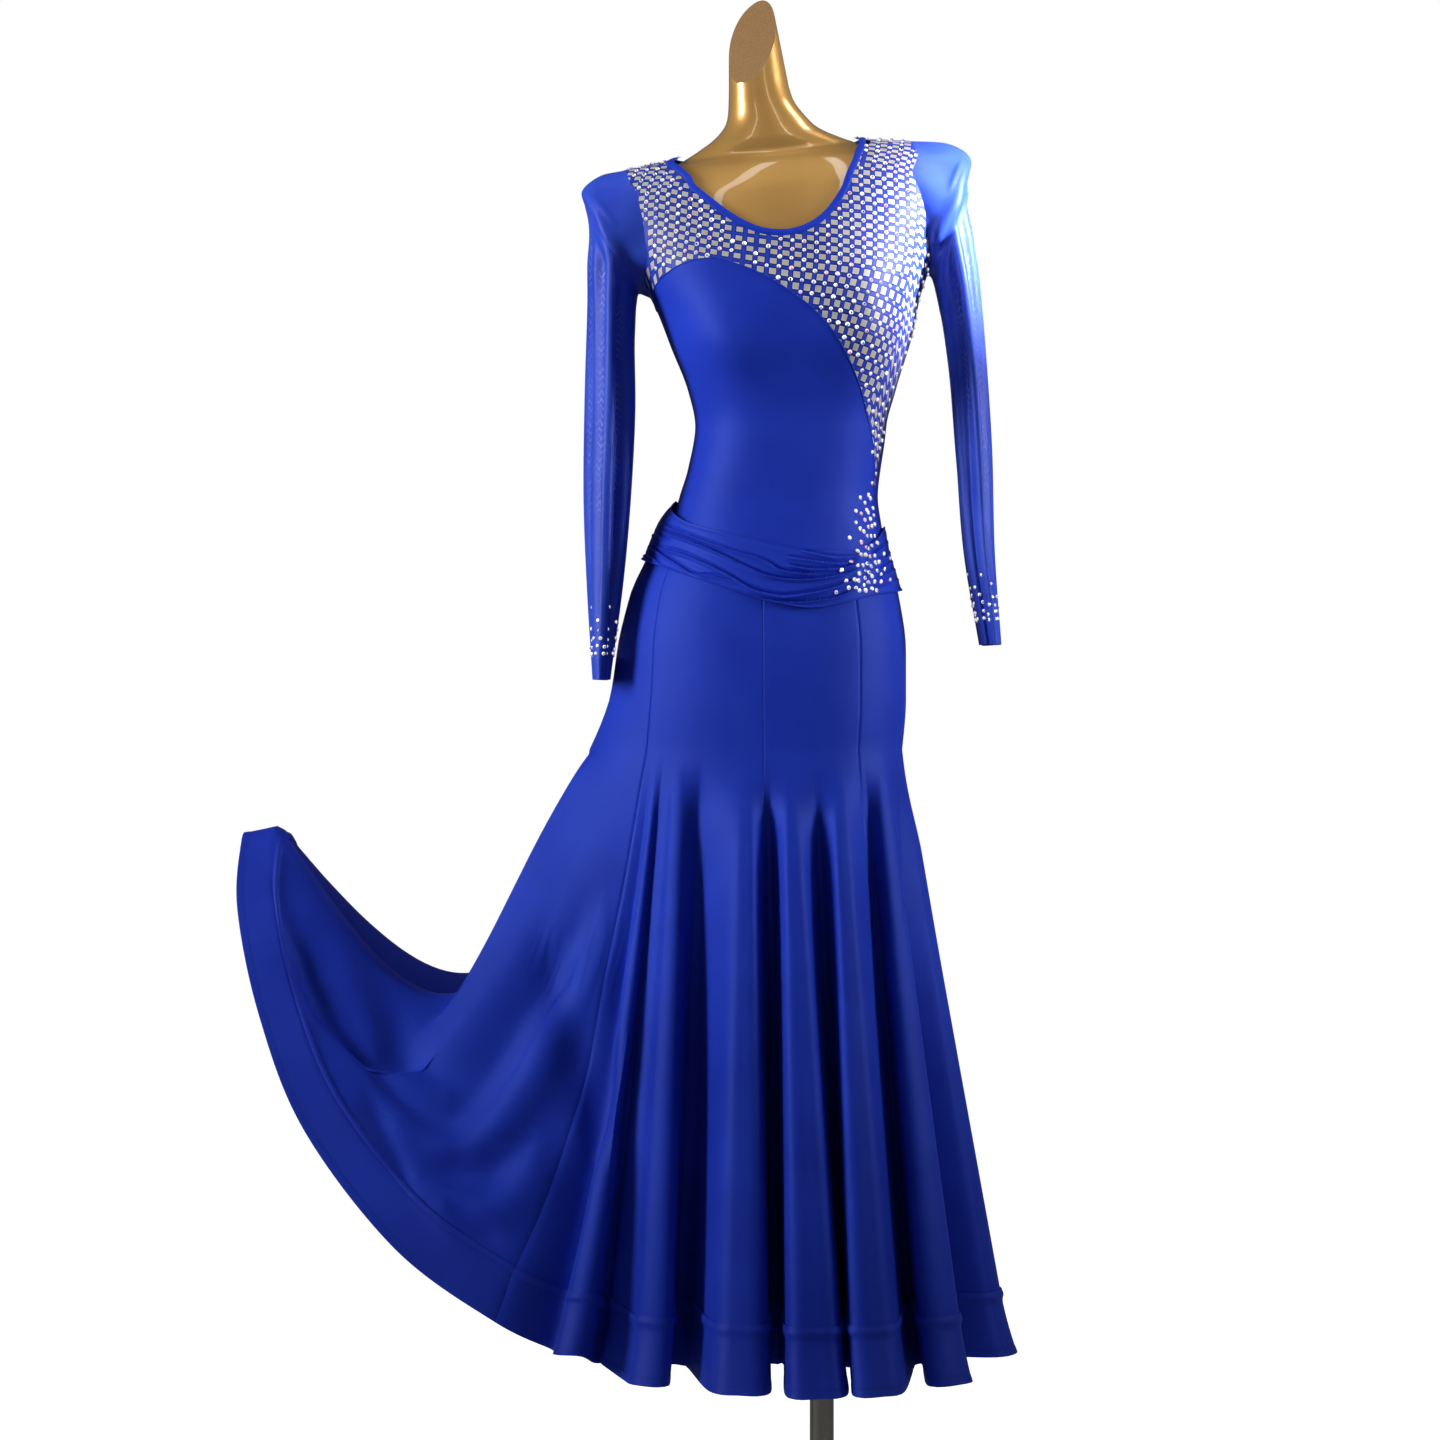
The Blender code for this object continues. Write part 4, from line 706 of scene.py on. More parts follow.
class Graph:
    """One material and the nodes of its pattern."""

    def __init__(self, name: str) -> None:
        """Starts the material with its Principled shader."""
        self.material = bpy.data.materials.new(name)
        self.material.use_nodes = True
        self.tree = self.material.node_tree
        self.shader = self.tree.nodes["Principled BSDF"]

    def node(
        self, kind: str, settings: dict[str, Any] | None = None, inputs: dict[Any, Any] | None = None, output: Any = 0
    ) -> Value:
        """Adds one node.

        Args:
            kind: the node's type.
            settings: properties set before its sockets.
            inputs: values or links of its sockets.
            output: which output to hand back.

        Returns:
            The output.
        """
        made = self.tree.nodes.new(kind)
        for name, value in (settings or {}).items():
            setattr(made, name, value)
        for name, value in (inputs or {}).items():
            self.feed(made.inputs[name], value)
        return Value(self, made.outputs[output])

    def feed(self, socket: bpy.types.NodeSocket, value: Any) -> None:
        """Links a value to a socket, or sets the socket to a constant."""
        if isinstance(value, Value):
            self.tree.links.new(value.socket, socket)
        elif isinstance(value, tuple) and len(value) == 3 and len(socket.default_value) == 4:
            socket.default_value = (*value, 1.0)
        else:
            socket.default_value = value

    def mix(self, share: Any, low: Any, high: Any) -> Value:
        """Colour low where the share is 0, high where it is 1."""
        return self.node("ShaderNodeMix", {"data_type": "RGBA"}, {0: share, 6: low, 7: high}, 2)

    def split(self, vector: Value) -> tuple[Value, Value, Value]:
        """The three parts of a vector."""
        node = self.tree.nodes.new("ShaderNodeSeparateXYZ")
        self.tree.links.new(vector.socket, node.inputs[0])
        return tuple(Value(self, output) for output in node.outputs)

    def pattern(self) -> Value:
        """The piece's own pattern places, in metres."""
        return self.node("ShaderNodeUVMap", {"uv_map": "pattern"})

    def objects(self) -> Value:
        """Places on the object, in metres."""
        return self.node("ShaderNodeTexCoord", output="Object")

    def carried(self, name: str) -> Value:
        """A number that the mesh carries by name."""
        return self.node("ShaderNodeAttribute", {"attribute_name": name}, output="Fac")

    def noise(self, scale: float, detail: float = 2.0, vector: Value | None = None) -> Value:
        """Noise between 0 and 1 over the object, or over another vector."""
        places = vector or self.objects()
        return self.node("ShaderNodeTexNoise", {}, {"Vector": places, "Scale": scale, "Detail": detail})

    def raised(self, height: Value, distance: float, strength: float) -> Value:
        """A Bump node's normal from a height."""
        return self.node("ShaderNodeBump", {}, {"Height": height, "Distance": distance, "Strength": strength}, "Normal")

    def dress(self, **sockets: Any) -> Material:
        """Sets the shader's sockets, named with underscores for spaces, and hands the material back."""
        for name, value in sockets.items():
            self.feed(self.shader.inputs[name.replace("_", " ")], value)
        return self.material


# ---- finishes
@dataclass(frozen=True)
class Jersey:
    """Stretch satin jersey: fine wales and courses, a soft sheen and a little cloudiness in its dye."""

    name: str
    deep: Colour = (0.01, 0.03, 0.4)
    lit: Colour = (0.016, 0.046, 0.52)
    roughness: float = 0.54
    sheen: float = 0.02
    wale: float = 1.1 * MM

    def dyed(self, g: Graph) -> tuple[Value, Value, Value]:
        """The noises of the dye and of the fibre, and the colour that the dye mixes from deep to lit."""
        dye, fibre = g.noise(9.0, 3.0), g.noise(900.0)
        return dye, fibre, g.mix(dye.over(0.3, 0.7), self.deep, self.lit)

    def material(self) -> Material:
        """Height is sin(u / wale) + 0.5 sin(v / course); the dye is mixed by noise."""
        g = Graph(self.name)
        u, v, _ = g.split(g.pattern())
        knit = (u * (2 * np.pi / self.wale)).sine() + 0.5 * (v * (2 * np.pi / (0.8 * self.wale))).sine()
        dye, fibre, colour = self.dyed(g)
        return g.dress(
            Base_Color=g.mix(fibre * 0.25, colour, self.lit),
            Roughness=self.roughness + 0.1 * (fibre - 0.5) + 0.06 * (dye - 0.5),
            Normal=g.raised(knit + fibre, 0.15 * MM, 0.12),
            Specular_IOR_Level=0.28,
            Specular_Tint=(0.25, 0.4, 1.0),
            Sheen_Weight=self.sheen,
            Sheen_Roughness=0.4,
            Sheen_Tint=(0.15, 0.3, 1.0),
        )


@dataclass(frozen=True)
class HemBand:
    """The stiffened hem band: jersey with two rows of stitches above its edge, their grooves darkened with painted
    shade.
    """

    name: str
    jersey: Jersey
    rows: tuple[float, float] = (8 * MM, 9.6 * MM)
    stitch: float = 3.2 * MM
    # sunk is the painted shade of the stitch grooves
    sunk: Colour = (0.003, 0.008, 0.12)

    def material(self) -> Material:
        """Each row of stitches is a narrow groove at its height v, its colour darkened halfway to a painted shade, with
        a paler dash across it at every stitch in u.
        """
        g = Graph(self.name)
        u, v, _ = g.split(g.pattern())
        lines = [abs(v - row).over(0.9 * MM, 0.4 * MM) for row in self.rows]
        groove = lines[0].most(lines[1])
        dash = (u / self.stitch).cell().over(0.4, 0.32)
        _, fibre, colour = self.jersey.dyed(g)
        knit = (u * (2 * np.pi / self.jersey.wale)).sine()
        return g.dress(
            Base_Color=g.mix(groove * dash * 0.7, g.mix(groove * 0.5, colour, self.sunk), self.jersey.lit),
            Roughness=self.jersey.roughness + 0.1 * (fibre - 0.5),
            Normal=g.raised(0.15 * knit + 0.2 * fibre - 2.0 * groove + 1.4 * groove * dash, 0.3 * MM, 0.35),
            Specular_IOR_Level=0.3,
            Specular_Tint=(0.4, 0.5, 1.0),
            Sheen_Weight=self.jersey.sheen,
            Sheen_Roughness=0.4,
            Sheen_Tint=(0.25, 0.35, 1.0),
        )


@dataclass(frozen=True)
class Check:
    """The check cloth: champagne squares with a paler edge and a painted shadow ring round them, on a blue ground."""

    name: str
    across: float = 13.1 * MM
    up: float = 10.1 * MM
    square: tuple[float, float] = (7.2 * MM, 5.5 * MM)
    edge: float = 0.5 * MM
    painted_shadow_ring: float = 1.1 * MM
    blue: Colour = (0.018, 0.055, 0.56)
    navy: Colour = (0.004, 0.009, 0.09)
    champagne: Colour = (0.52, 0.49, 0.46)
    clouded: Colour = (0.45, 0.42, 0.4)
    pale: Colour = (0.62, 0.6, 0.58)
    blur: float = 0.15 * MM

    def material(self) -> Material:
        """The larger of the two distances inside the square's sides, in metres, steps through the colours."""
        g = Graph(self.name)
        u, v, _ = g.split(g.pattern())
        from_u = (u / self.across).cell() * self.across - self.square[0] / 2
        from_v = (v / self.up).cell() * self.up - self.square[1] / 2
        outside = from_u.most(from_v)
        square = outside.over(self.blur, -self.blur)
        centre = outside.over(-self.edge + self.blur, -self.edge - self.blur)
        # painted shadow: a dark navy ring just outside each square
        painted_shadow_ring = outside.over(self.painted_shadow_ring + 2 * self.blur, self.painted_shadow_ring - 2 * self.blur)
        dye = g.noise(160.0)
        fibre = g.noise(1100.0)
        ground = g.mix(painted_shadow_ring * 0.85, g.mix(dye * 0.25, self.blue, self.navy), self.navy)
        tinted = g.mix(dye.over(0.35, 0.7), self.champagne, self.clouded)
        return g.dress(
            Base_Color=g.mix(square, ground, g.mix(centre, self.pale, tinted)),
            Roughness=0.45 - 0.12 * square + 0.1 * (fibre - 0.5),
            Normal=g.raised(0.8 * square + 0.25 * fibre, 0.25 * MM, 0.35),
            Specular_IOR_Level=0.2,
            Sheen_Weight=0.02,
            Sheen_Roughness=0.4,
        )


@dataclass(frozen=True)
class SheerMesh:
    """Stretch mesh: a fine net, closer at the shoulder, solid at the cuff, with painted pale moire light where its
    layers cross.
    """

    name: str
    pitch: float = 1.5 * MM
    thread: Colour = (0.018, 0.052, 0.52)
    shine: Colour = (0.08, 0.2, 0.95)
    painted_moire_colour: Colour = (0.42, 0.48, 0.78)
    arm: float = 9.0 * MM
    arm_rise: float = 0.011
    step: float = 8.2 * MM

    def material(self) -> Material:
        """Alpha is 1 on the net's threads, less in its holes; carried numbers say how close the net is and where
        the painted moire light shows, as chevrons: cell(v / step + |cell(u / arm)|), whose arms rise to both sides."""
        g = Graph(self.name)
        u, v, _ = g.split(g.pattern())
        thread = ((u + v) / self.pitch).cell().least(((u - v) / self.pitch).cell()).over(0.16, 0.08)
        close, painted_moire_streak = g.carried("close"), g.carried("painted_moire_streak")
        dye = g.noise(14.0, 3.0)
        waver = g.noise(60.0)
        chevron = ((v - (u / self.arm).cell() * self.arm_rise) / self.step + waver * 1.2).cell()
        # painted light: pale moire streaks stand in for the light seen through both layers of the net
        pale = chevron.over(0.22, 0.08) * painted_moire_streak * waver.over(0.35, 0.6) * 0.5
        cloth = g.mix(dye.over(0.35, 0.75) * 0.25, self.thread, self.shine)
        return g.dress(
            Base_Color=g.mix(pale, cloth, self.painted_moire_colour),
            Roughness=0.48 + 0.1 * (dye - 0.5),
            Alpha=(0.72 + 0.4 * close + thread * (0.2 - 0.2 * close)).least(1.0),
            Normal=g.raised(thread + dye, 0.2 * MM, 0.2),
            Specular_IOR_Level=0.28,
            Sheen_Weight=0.05,
            Sheen_Roughness=0.35,
            Sheen_Tint=(0.15, 0.35, 1.0),
        )


@dataclass(frozen=True)
class Gold:
    """Lacquered gold skin of the form: warm metal flake under a clear coat."""

    name: str
    warm: Colour = (0.74, 0.42, 0.12)
    dark: Colour = (0.6, 0.32, 0.08)

    def material(self) -> Material:
        """Flake from fine noise shifts the colour and the roughness a little."""
        g = Graph(self.name)
        flake = g.noise(700.0)
        cloud = g.noise(6.0, 3.0)
        return g.dress(
            Base_Color=g.mix(0.05 * flake + 0.95 * cloud.over(0.3, 0.7), self.dark, self.warm),
            Roughness=0.3 + 0.02 * (flake - 0.5) + 0.04 * cloud,
            Normal=g.raised(flake, 0.01 * MM, 0.02),
            Metallic=0.5,
            Coat_Weight=1.0,
            Coat_Roughness=0.03,
        )


@dataclass(frozen=True)
class Plain:
    """A plain finish with a fine grain: the form's cut face."""

    name: str
    colour: Colour
    shade: Colour
    roughness: float = 0.6
    grain: float = 400.0

    def material(self) -> Material:
        """Noise mixes the two colours and lifts the surface slightly."""
        g = Graph(self.name)
        grain = g.noise(self.grain, 3.0)
        return g.dress(
            Base_Color=g.mix(grain.over(0.3, 0.7), self.shade, self.colour),
            Roughness=self.roughness + 0.12 * (grain - 0.5),
            Normal=g.raised(grain, 0.1 * MM, 0.2),
        )


@dataclass(frozen=True)
class Steel:
    """Satin steel, brushed round the pole and the base."""

    name: str
    colour: Colour = (0.26, 0.245, 0.205)
    bright: Colour = (0.4, 0.385, 0.34)
    brushing: tuple[float, float, float] = (6.0, 2500.0, 1.0)

    def material(self) -> Material:
        """The brush lines are noise stretched round the axis: fine in v, long in u."""
        g = Graph(self.name)
        settings, inputs = {"vector_type": "POINT"}, {"Vector": g.pattern(), "Scale": self.brushing}
        brush = g.noise(1.0, 3.0, g.node("ShaderNodeMapping", settings, inputs))
        cloud = g.noise(30.0)
        return g.dress(
            Base_Color=g.mix(brush * 0.4 + cloud * 0.2, self.colour, self.bright),
            Roughness=0.26 + 0.16 * brush,
            Normal=g.raised(brush, 0.02 * MM, 0.2),
            Metallic=1.0,
        )


@dataclass(frozen=True)
class Crystal:
    """Foiled crystal: each facet carries painted light and shade, the lit ones also glowing, and each stone its own
    tint.
    """

    name: str
    # bright is the facets' painted lit colour and dark their painted shade
    bright: Colour = (0.95, 0.96, 1.0)
    dark: Colour = (0.02, 0.03, 0.09)
    rose: Colour = (0.85, 0.35, 0.55)
    violet: Colour = (0.45, 0.4, 0.95)

    def material(self) -> Material:
        """The facet's painted light mixes its painted shade to the lit colour, which also glows by emission as painted
        light; the stone's tint warms some of them.
        """
        g = Graph(self.name)
        painted_facet_light, tint = g.carried("painted_facet_light"), g.carried("tint")
        colour = g.mix(tint.over(0.82, 0.88) * 0.6, self.bright, self.rose)
        colour = g.mix(tint.over(0.12, 0.08) * 0.6, colour, self.violet)
        return g.dress(
            Base_Color=g.mix(painted_facet_light, self.dark, colour),
            Roughness=0.12 + 0.1 * (1 - painted_facet_light),
            # painted glow: the lit facets emit their own colour
            Emission_Color=g.mix(painted_facet_light, (0.0, 0.0, 0.0), colour),
            Emission_Strength=1.0,
            Metallic=0.2,
            Coat_Weight=1.0,
            Coat_Roughness=0.03,
        )


class Finish(Enum):
    """Every finish of the dress, the form and the stand."""

    BLUE = Jersey("blue_satin_jersey")
    BINDING = Jersey("blue_binding_jersey", (0.012, 0.036, 0.44), (0.02, 0.056, 0.6), 0.42)
    BAND = HemBand("blue_hem_band", Jersey("band_jersey"))
    CHECK = Check("blue_and_champagne_check_cloth")
    MESH = SheerMesh("sheer_blue_net")
    GOLD = Gold("lacquered_gold")
    CUT = Plain("form_cut_face", (0.36, 0.2, 0.075), (0.28, 0.15, 0.055))
    STEEL = Steel("brushed_steel")
    CRYSTAL = Crystal("foiled_crystal")

    def material(self) -> Material:
        """The finish's material, made once."""
        return bpy.data.materials.get(self.value.name) or self.value.material()


class Slot(Enum):
    """The record's material slots."""

    BLUE = "blue_cloth"
    CHECK = "check_cloth"
    MESH = "sheer_mesh"
    BINDING = "binding_cloth"
    BAND = "hem_band_cloth"
    GOLD = "gold_form"
    STEEL = "stand_steel"


class Held(Enum):
    """How a sheet of cloth is held."""

    HUNG = "hung"
    STRETCHED = "stretched"
    GATHERED = "gathered"


# ---- meshes
def quads(index: Array) -> Array:
    """Corners (row, column), (row, column + 1), (row + 1, column + 1) and (row + 1, column) of every cell."""
    return np.stack([index[:-1, :-1], index[:-1, 1:], index[1:, 1:], index[1:, :-1]], axis=-1).reshape(-1, 4)


def ring_numbers(rows: int, columns: int) -> Array:
    """Numbers of a closed grid's points, with the first column again after the last."""
    index = np.arange(rows * columns).reshape(rows, columns)
    return np.hstack([index, index[:, :1]])


def add_mesh(
    name: str,
    points: Array,
    faces: list[list[int]],
    finishes: Sequence[Finish],
    uv: Array | None = None,
    sharp: float = 50.0,
    carried: dict[str, Array] | None = None,
) -> Piece:
    """A mesh object at the origin.

    Args:
        name: the piece's name.
        points: vertices.
        faces: vertex numbers of each face.
        finishes: its materials, the first on every face.
        uv: pattern place of each face corner.
        sharp: edges that bend more than this many degrees are sharp.
        carried: numbers that the mesh carries, one for each vertex or for each face.

    Returns:
        The object.
    """
    mesh = bpy.data.meshes.new(name)
    mesh.from_pydata(points.tolist(), [], faces)
    for finish in finishes:
        mesh.materials.append(finish.material())
    if uv is not None:
        mesh.uv_layers.new(name="pattern").data.foreach_set("uv", uv.astype(np.float32).ravel())
    for key, values in (carried or {}).items():
        domain = "POINT" if len(values) == len(points) else "FACE"
        mesh.attributes.new(key, "FLOAT", domain).data.foreach_set("value", values.astype(np.float32))
    mesh.shade_smooth()
    mesh.set_sharp_from_angle(angle=np.radians(sharp))
    made = bpy.data.objects.new(name, mesh)
    bpy.context.scene.collection.objects.link(made)
    return made


@dataclass
class Panel:
    """One wall of cloth between an inner and an outer grid of points, with its pattern places."""

    name: str
    inner: Array
    outer: Array
    uv: Array
    closed: bool = False
    carried: dict[str, Array] = field(default_factory=dict)

    def build(self, finish: Finish) -> Piece:
        """Both sheets, the inner one turned over, and the rims between them; a closed wall joins its last column on."""
        rows, columns = self.inner.shape[:2]
        index = ring_numbers(rows, columns) if self.closed else np.arange(rows * columns).reshape(rows, columns)
        place = np.arange(self.uv.shape[0] * self.uv.shape[1]).reshape(self.uv.shape[:2])
        shift = rows * columns

        def rim(run: Array, lift: int) -> Array:
            """Faces between the sheets along an edge that has the wall on its left."""
            return np.stack([run[:-1], run[1:], run[1:] + lift, run[:-1] + lift], axis=-1)

        def parts(grid: Array, lift: int) -> Array:
            """All faces of the wall, as places of a grid of numbers."""
            sheets = [quads(grid) + lift, quads(grid)[:, ::-1], rim(grid[0], lift), rim(grid[-1, ::-1], lift)]
            ends = [] if self.closed else [rim(grid[::-1, 0], lift), rim(grid[:, -1], lift)]
            return np.vstack(sheets + ends)

        faces, corners = parts(index, shift), parts(place, 0)
        points = np.vstack([self.inner.reshape(-1, 3), self.outer.reshape(-1, 3)])
        carried = {key: np.tile(values.ravel(), 2) for key, values in self.carried.items()}
        uv = self.uv.reshape(-1, 2)[corners.ravel()]
        return add_mesh(self.name, points, faces.tolist(), [finish], uv, carried=carried)


@dataclass(frozen=True)
class Cut:
    """How a sheet was cut and is held: flat width and length, and its flat area where it isn't a rectangle."""

    width: float
    length: float
    area: float | None
    held: Held
    rests_on: tuple[str, ...]


SLEEVE_CUT = Cut(0.36, 0.6, 0.13, Held.HUNG, ("yoke_check",))
SASH_FRONT_CUT = Cut(0.14, 0.27, 0.022, Held.GATHERED, ("bodice_front_plain",))
SASH_BACK_CUT = Cut(0.14, 0.42, 0.036, Held.GATHERED, ("bodice_back",))


def settle(
    piece: Piece, replaced: Sequence[str] = ()
) -> Piece:
    """Puts a piece on the frame: it rides on the root and stands for its nodes, which it hides."""
    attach(piece, "root")
    if replaced:
        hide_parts(*replaced)
    LOG.info("%s: %d faces", piece.name, len(piece.data.polygons))
    return piece


def tube(name: str, path: Array, radius: float, finish: Finish, sides: int = 8) -> Piece:
    """A round tube with capped ends: each ring is the path's point plus radius (cos a side + sin a lift)."""
    ahead = unit(np.gradient(path, axis=0))
    side = unit(np.cross(ahead, np.array([0.0, 0.0, 1.0])))
    lift = np.cross(side, ahead)
    angle = np.linspace(0.0, 2 * np.pi, sides, endpoint=False)[None, :, None]
    rings = path[:, None] + radius * (np.cos(angle) * side[:, None] + np.sin(angle) * lift[:, None])
    index = ring_numbers(len(path), sides)
    faces = quads(index)[:, ::-1].tolist() + [index[0, :-1].tolist(), index[-1, -2::-1].tolist()]
    return add_mesh(name, rings.reshape(-1, 3), faces, [finish])


# ---- bodice
class Seams:
    """The seams that the bodice's panels share, as runs of (bearing, climb) places."""

    def __init__(self, body: Body) -> None:
        """Lays the seams out on the body."""
        self.body = body
        foot, left_pit = STYLE_FOOT_Z, SIDE_LEFT[-1].z
        tail, right_pit = STYLE_TAIL_Z, SIDE_RIGHT[-1].z
        self.left_low = self.side(SIDE_LEFT, WAIST_SEAM_Z, foot, LEFT_ROWS.low)
        self.left_high = self.side(SIDE_LEFT, foot, left_pit, LEFT_ROWS.high)
        self.right_low = self.side(SIDE_RIGHT, WAIST_SEAM_Z, tail, RIGHT_ROWS.low)
        self.right_high = self.side(SIDE_RIGHT, tail, right_pit, RIGHT_ROWS.high)
        self.style = body.path(STYLE_LINE, BODICE_COLUMNS, ends=(self.left_low[-1], self.right_low[-1]))
        pit_left, pit_right = self.left_high[-1], self.right_high[-1]
        self.armhole_left = body.path(ARMHOLE_LEFT, LEFT_ROWS.armhole, ends=(pit_left,))
        self.armhole_right = body.path(ARMHOLE_RIGHT, RIGHT_ROWS.armhole, ends=(pit_right,))
        self.back_armhole_left = body.path(ARMHOLE_LEFT, LEFT_ROWS.back_armhole, True, (turned_round(pit_left),))
        self.back_armhole_right = body.path(ARMHOLE_RIGHT, RIGHT_ROWS.back_armhole, True, (pit_right,))
        front, back = body.path(NECK_FRONT, NECK_FRONT_STEPS), body.path(NECK_BACK, NECK_BACK_STEPS, back=True)
        loop = join(front, back)[:-1]
        edge = body.shifted(np.vstack([loop[-3:] - [360.0, 0.0], loop, turned_round(loop[:3])]), -BINDING_WIDTH)[3:-3]
        columns = BODICE_COLUMNS - sum(SHOULDER_COLUMNS), BACK_COLUMNS - sum(SHOULDER_COLUMNS)
        self.neck_front = body.evenly(edge[: NECK_FRONT_STEPS + 1], columns[0])
        self.neck_back = body.evenly(np.vstack([edge[NECK_FRONT_STEPS:], turned_round(edge[:1])]), columns[1])
        self.binding_low, self.binding_top = edge, loop

    def side(self, seam: Sequence[Level], low: float, high: float, count: int) -> Array:
        """A run up a side seam between two heights."""
        z = np.linspace(low, high, count + 1)
        return np.stack([at_level(seam, z), self.body.climb_at(z)], axis=1)


class StoneBed(NamedTuple):
    """A sheet that stones sit on: its points, its normals, and the places that stones are given in."""

    points: Array
    normals: Array
    places: Array


STONE_SIDES = 8
STONE_RINGS = ((1.0, -0.3), (0.94, 0.35), (0.46, 1.0))  # radius and height of each ring, over the stone's own


@dataclass
class Stones:
    """Crystals in rows or scattered: flat-backed domes of eight sides with two rings of facets and a table."""

    name: str
    radius: float = 2.8 * MM
    height: float = 1.9 * MM
    seed: int = SEED

    def on(self, bed: StoneBed, targets: Array, margin: float, sizes: Array | None = None) -> Piece:
        """Sets a stone at each target place of the bed that is further than the margin from its edge.

        The nearest grid point is corrected by one Newton step of the grid's own slopes.

        Args:
            bed: the sheet.
            targets: places, in the bed's own measure.
            margin: least distance from the sheet's edge, in metres.
            sizes: a factor for each target.

        Returns:
            The stones, joined into one mesh.
        """
        sizes = np.ones(len(targets)) if sizes is None else sizes
        flat = bed.places.reshape(-1, 2)
        nearest = np.array([((flat - target) ** 2).sum(axis=1).argmin() for target in targets])
        slopes = np.stack([np.gradient(bed.places, axis=k).reshape(-1, 2)[nearest] for k in (0, 1)], axis=-1)
        step = np.linalg.solve(slopes, (targets - flat[nearest])[..., None])[..., 0]
        inside = np.abs(step).max(axis=1) < 1.2
        moves = np.stack([np.gradient(bed.points, axis=k).reshape(-1, 3)[nearest] for k in (0, 1)], axis=-1)
        at = bed.points.reshape(-1, 3)[nearest] + (moves @ step[..., None])[..., 0]
        rim = np.vstack([bed.points[0], bed.points[-1], bed.points[:, 0], bed.points[:, -1]])
        clear = np.array([((rim - p) ** 2).sum(axis=1).min() for p in at]) > margin**2
        keep = inside & clear
        return self.build(at[keep], bed.normals.reshape(-1, 3)[nearest][keep], sizes[keep])

    def build(self, at: Array, normals: Array, sizes: Array) -> Piece:
        """The rings' points (r cos a, r sin a, h), turned to each normal; every facet carries painted light and shade
        for its slant.
        """
        random = np.random.default_rng(self.seed)
        count, turns = STONE_SIDES, np.arange(STONE_SIDES) * 360.0 / STONE_SIDES
        angle = np.radians(turns + 180.0 / count)
        circle = np.stack([np.cos(angle), np.sin(angle)], axis=1)
        rings = [(circle * r * self.radius, np.full(count, h * self.height)) for r, h in STONE_RINGS]
        dome = np.vstack([np.column_stack(ring) for ring in rings])
        index = ring_numbers(len(rings), count)
        side = unit(np.cross(np.array([0.0, 0.0, 1.0]), normals))
        lift = np.cross(normals, side)
        turn = random.normal(0.0, 0.12, len(at))[:, None]
        side, lift = side * np.cos(turn) + lift * np.sin(turn), lift * np.cos(turn) - side * np.sin(turn)
        frame = np.stack([side, lift, normals], axis=1) * sizes[:, None, None]
        points = at[:, None] + dome[None] @ frame
        shift = (np.arange(len(at)) * len(dome))[:, None, None]
        walls = (quads(index)[None] + shift).reshape(-1, 4).tolist()
        tables = (index[-1, :-1][None] + shift[:, 0]).tolist()
        backs = (index[0, -2::-1][None] + shift[:, 0]).tolist()
        # painted light and shade: facets that face up are bright, those that face down dark, the upper ring brighter
        # than the lower, the table dark and the back black
        facet = np.sin(np.radians(turns + 360.0 / count))
        painted_facet_light = np.concatenate([0.3 + 0.4 * facet, 0.72 + 0.38 * facet])
        painted_facet_lights = np.clip(painted_facet_light[None] + random.normal(0.0, 0.14, (len(at), len(painted_facet_light))), 0.0, 1.0)
        painted_table_shade = np.clip(0.34 + random.normal(0.0, 0.2, len(at)), 0.0, 1.0)
        tint = random.random(len(at))
        carried = {
            "painted_facet_light": np.concatenate([painted_facet_lights.ravel(), painted_table_shade, np.zeros(len(at))]),
            "tint": np.concatenate([np.repeat(tint, len(painted_facet_light)), tint, tint]),
        }
        faces = walls + tables + backs
        return add_mesh(self.name, points.reshape(-1, 3), faces, [Finish.CRYSTAL], sharp=5.0, carried=carried)


